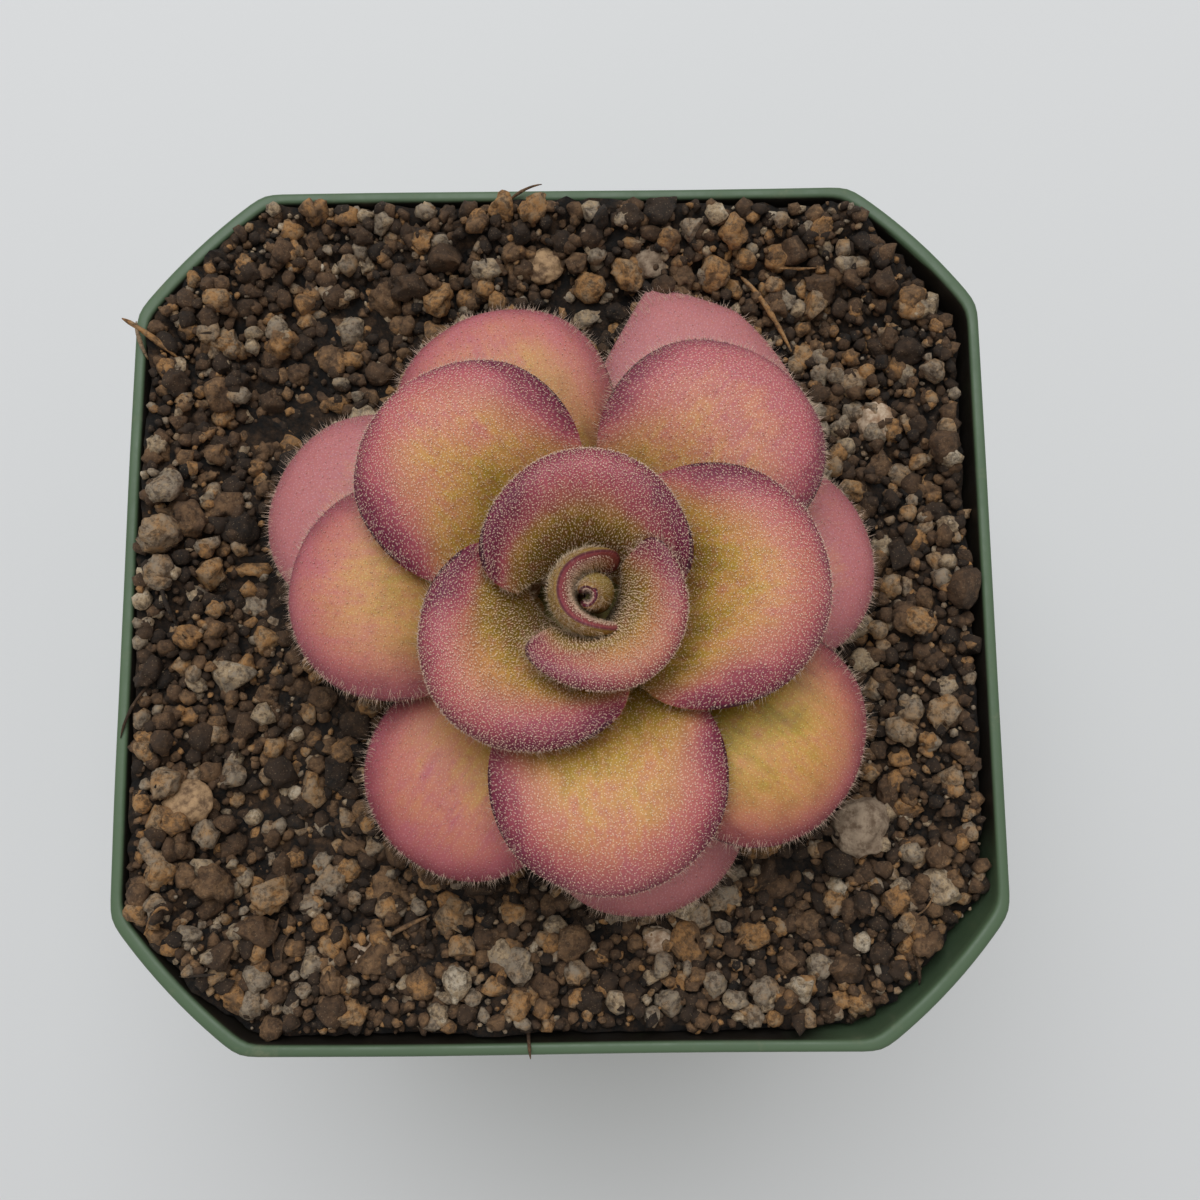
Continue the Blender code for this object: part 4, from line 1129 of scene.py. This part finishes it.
# closed fibres: a ring of points carried along a quadratic curve, thinner to both ends
def makeFibres(material):
    details = fibreDetails
    rng = np.random.default_rng(details["seed"])
    rows = list(fibres)
    x, y = grainPlaces(details["pitch"], rng, details["margin"])
    for i in rng.permutation(len(x))[:details["count"]]:
        turn = rng.random() * 2 * np.pi
        reach = details["length"] * (0.4 + 0.6 * rng.random())
        step = np.array([math.cos(turn), math.sin(turn), 0.0]) * reach / 2
        level = crustHeight(x[i:i + 1], y[i:i + 1])[0] + details["height"]
        middle = np.array([x[i], y[i], level])
        rows.append((rng.random() * 0.6, 0.16 + 0.25 * rng.random(),
                     middle - step - [0, 0, 1.4 * rng.random()],
                     middle + rng.normal(0, 0.6, 3),
                     middle + step - [0, 0, 1.6 * rng.random()]))
    steps, sides = details["steps"], details["sides"]
    each = steps * sides + 2
    t = np.linspace(0, 1, steps)[:, None]
    points = []
    faceSets = []
    for index, (_, thickness, start, bend, end) in enumerate(rows):
        path = (1 - t) ** 2 * start + 2 * (1 - t) * t * bend + t ** 2 * end
        taper = thickness / 2 * np.sqrt(np.sin(np.pi * (0.02 + 0.96 * t)))
        knots = taper * (1 + 0.3 * latticeNoise(path, 0.7, index)[:, None])
        around = aroundDirections(unit(np.gradient(path, axis=0)), sides)
        ring = path[:, None] + knots[:, None] * around
        points += [path[:1], ring.reshape(-1, 3), path[-1:]]
        faceSets += [(faces[:, ::-1] + index * each, 0) for faces in closedSkin(steps, sides)]
    tones = np.repeat([row[0] for row in rows], each)
    settle(makePiece("barkFibres", np.concatenate(points) * mm, faceSets, [material],
                     {"tone": tones}), "soil_mix")


makeFibres(grainMix)
print("soil made")

# The ten larger grains that can be told apart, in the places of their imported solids: light and
# dark colour and roughness of each kind
stoneLooks = {
    "pumice": (paint(164, 144, 122), paint(104, 84, 66), 0.9),
    "quartz": (paint(214, 192, 166), paint(150, 116, 86), 0.55),
    "amber": (paint(188, 142, 92), paint(108, 70, 38), 0.6),
    "tan": (paint(184, 150, 112), paint(100, 76, 54), 0.8),
}
stoneShape = {
    "subdivisions": 4, "dent": 0.26, "dentScale": 0.8, "bump": 0.05, "bumpScale": 5.0,
    "reach": 0.56, "sunk": 0.6, "seedScale": 9000,
}


# light body with dark pits and half dark stains
def makeStoneMaterial(kind, light, dark, roughness):
    def fill(tree):
        place = objectPlace(tree)
        pits = cloud(tree, place, 1100.0, 6.0, 0.7)
        stain = remap(tree, cloud(tree, place, 380.0, 3.0), 0.5, 0.7)
        body = blend(tree, remap(tree, pits, 0.62, 0.32), light, dark)
        return {"Base Color": blend(tree, times(tree, stain, 0.5), body, dark),
                "Normal": bump(tree, pits, 0.8, 0.0003)}

    return makeMaterial("grit" + kind.capitalize(), fill, Roughness=roughness)


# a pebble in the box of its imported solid: a fine ball dented by noise, stretched to a little more
# than the box and sunk a little
def makeStone(node, kind, material):
    low, high = [np.array(corner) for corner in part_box(node)]
    ball, faces = ballShape(stoneShape["subdivisions"])
    seed = np.array([low[0], low[1], 0.0]) * stoneShape["seedScale"]
    noise = np.abs(roughNoise(ball * stoneShape["dentScale"] + seed, 1.0, 7, 3))
    dent = 1 + stoneShape["dent"] * (0.4 - 1.3 * noise)
    dent += stoneShape["bump"] * latticeNoise(ball * stoneShape["bumpScale"], 1.0, 9)
    points = ball * dent[:, None]
    size = (high - low) * stoneShape["reach"]
    points = points / np.abs(points).max(axis=0) * size + (high + low) / 2
    points[:, 2] -= stoneShape["sunk"] * mm
    piece = makePiece(node.replace("stone_", "pebble_"), points, [(faces, 0)], [material])
    settle(piece, "grit_" + kind, node)


for kind, look in stoneLooks.items():
    material = makeStoneMaterial(kind, *look)
    for node in sorted(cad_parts):
        if node.startswith("stone_" + kind):
            makeStone(node, kind, material)
print("stones made")


# The crown and the roots keep their shapes, and so does the packed soil: flesh and root skin have
# three colours along a noise of that scale, which also gives the bumps
def speckled(scale, detail, roughness, depth, stops):
    def fill(tree):
        noise = cloud(tree, objectPlace(tree), scale, detail, roughness)
        body = ramp(tree, noise, [(share, paint(*colour)) for share, colour in stops])
        return {"Base Color": body, "Normal": bump(tree, noise, 0.6, depth)}

    return fill


crownFlesh = makeMaterial("crownFlesh", speckled(500.0, 4.0, 0.55, 0.0003, (
    (0.3, (86, 80, 34)), (0.55, (134, 122, 58)), (0.75, (150, 122, 82)))), Roughness=0.6)
rootSkin = makeMaterial("rootSkin", speckled(700.0, 5.0, 0.7, 0.0002, (
    (0.3, (120, 92, 60)), (0.6, (196, 176, 138)), (0.8, (216, 202, 170)))), Roughness=0.8)
for node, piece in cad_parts.items():
    for key, material in (("soil", soilMix), ("crown", crownFlesh), ("root_", rootSkin)):
        if node.startswith(key):
            piece.data.materials.clear()
            piece.data.materials.append(material)

# Camera, floor and light. The camera was fitted to the pot's rim: it looks almost straight down.
view = {
    "place": (3.8, -14.22, 179.68), "turns": (-7.845, -0.063, 0.585), "lens": 36.0,
    "sensor": 36.0, "near": 0.005, "floorSize": 12.0, "floorDrop": 0.05,
    "paper": (paint(228, 229, 230), paint(222, 223, 225)), "sky": paint(219, 217, 213),
    "skyStrength": 0.58, "lampColour": (0.97, 1.0, 1.03), "lampPlace": (-0.05, 0.34, 0.83),
    "lampAim": (0.0, 0.0, 0.07), "lampSize": 0.8, "lampPower": 4.9,
}


# turns about x, then y, then z take the world to the camera, so the camera has them reversed
def makeCamera():
    lens = bpy.data.cameras.new("camera")
    lens.lens = view["lens"]
    lens.sensor_width = view["sensor"]
    lens.sensor_fit = "HORIZONTAL"
    lens.clip_start = view["near"]
    camera = addObject("camera", lens)
    x, y, z = [Matrix.Rotation(math.radians(turn), 3, axis)
               for turn, axis in zip(view["turns"], "XYZ")]
    looking = (z @ y @ x).transposed().to_4x4()
    camera.matrix_world = Matrix.Translation(np.array(view["place"]) * mm) @ looking
    bpy.context.scene.camera = camera


def fillFloor(tree):  # two near whites, mixed by a slow noise
    return {"Base Color": blend(tree, cloud(tree, objectPlace(tree), 3.0), *view["paper"])}


# a floor of pale paper, an even sky and one round lamp above the back
def makeStudio():
    size = view["floorSize"] / 2
    corners = np.array([(-size, -size, 0), (size, -size, 0), (size, size, 0), (-size, size, 0)])
    floor = makePiece("floor", corners - [0, 0, view["floorDrop"] * mm],
                      [(np.array([[0, 1, 2, 3]]), 0)],
                      [makeMaterial("floorPaper", fillFloor, Roughness=0.8)])
    world = bpy.data.worlds.new("studio")
    world.use_nodes = True
    setInputs(world.node_tree.nodes["Background"],
              {"Color": view["sky"], "Strength": view["skyStrength"]})
    bpy.context.scene.world = world
    lamp = bpy.data.lights.new("softbox", "AREA")
    lamp.shape = "DISK"
    lamp.size = view["lampSize"]
    lamp.energy = view["lampPower"]
    lamp.color = view["lampColour"]
    towards = (Vector(view["lampAim"]) - Vector(view["lampPlace"])).to_track_quat("-Z", "Y")
    stand = Matrix.Translation(view["lampPlace"]) @ towards.to_matrix().to_4x4()
    addObject("softbox", lamp).matrix_world = stand


makeCamera()
makeStudio()
bpy.context.scene.view_settings.view_transform = "Standard"
print("studio made")
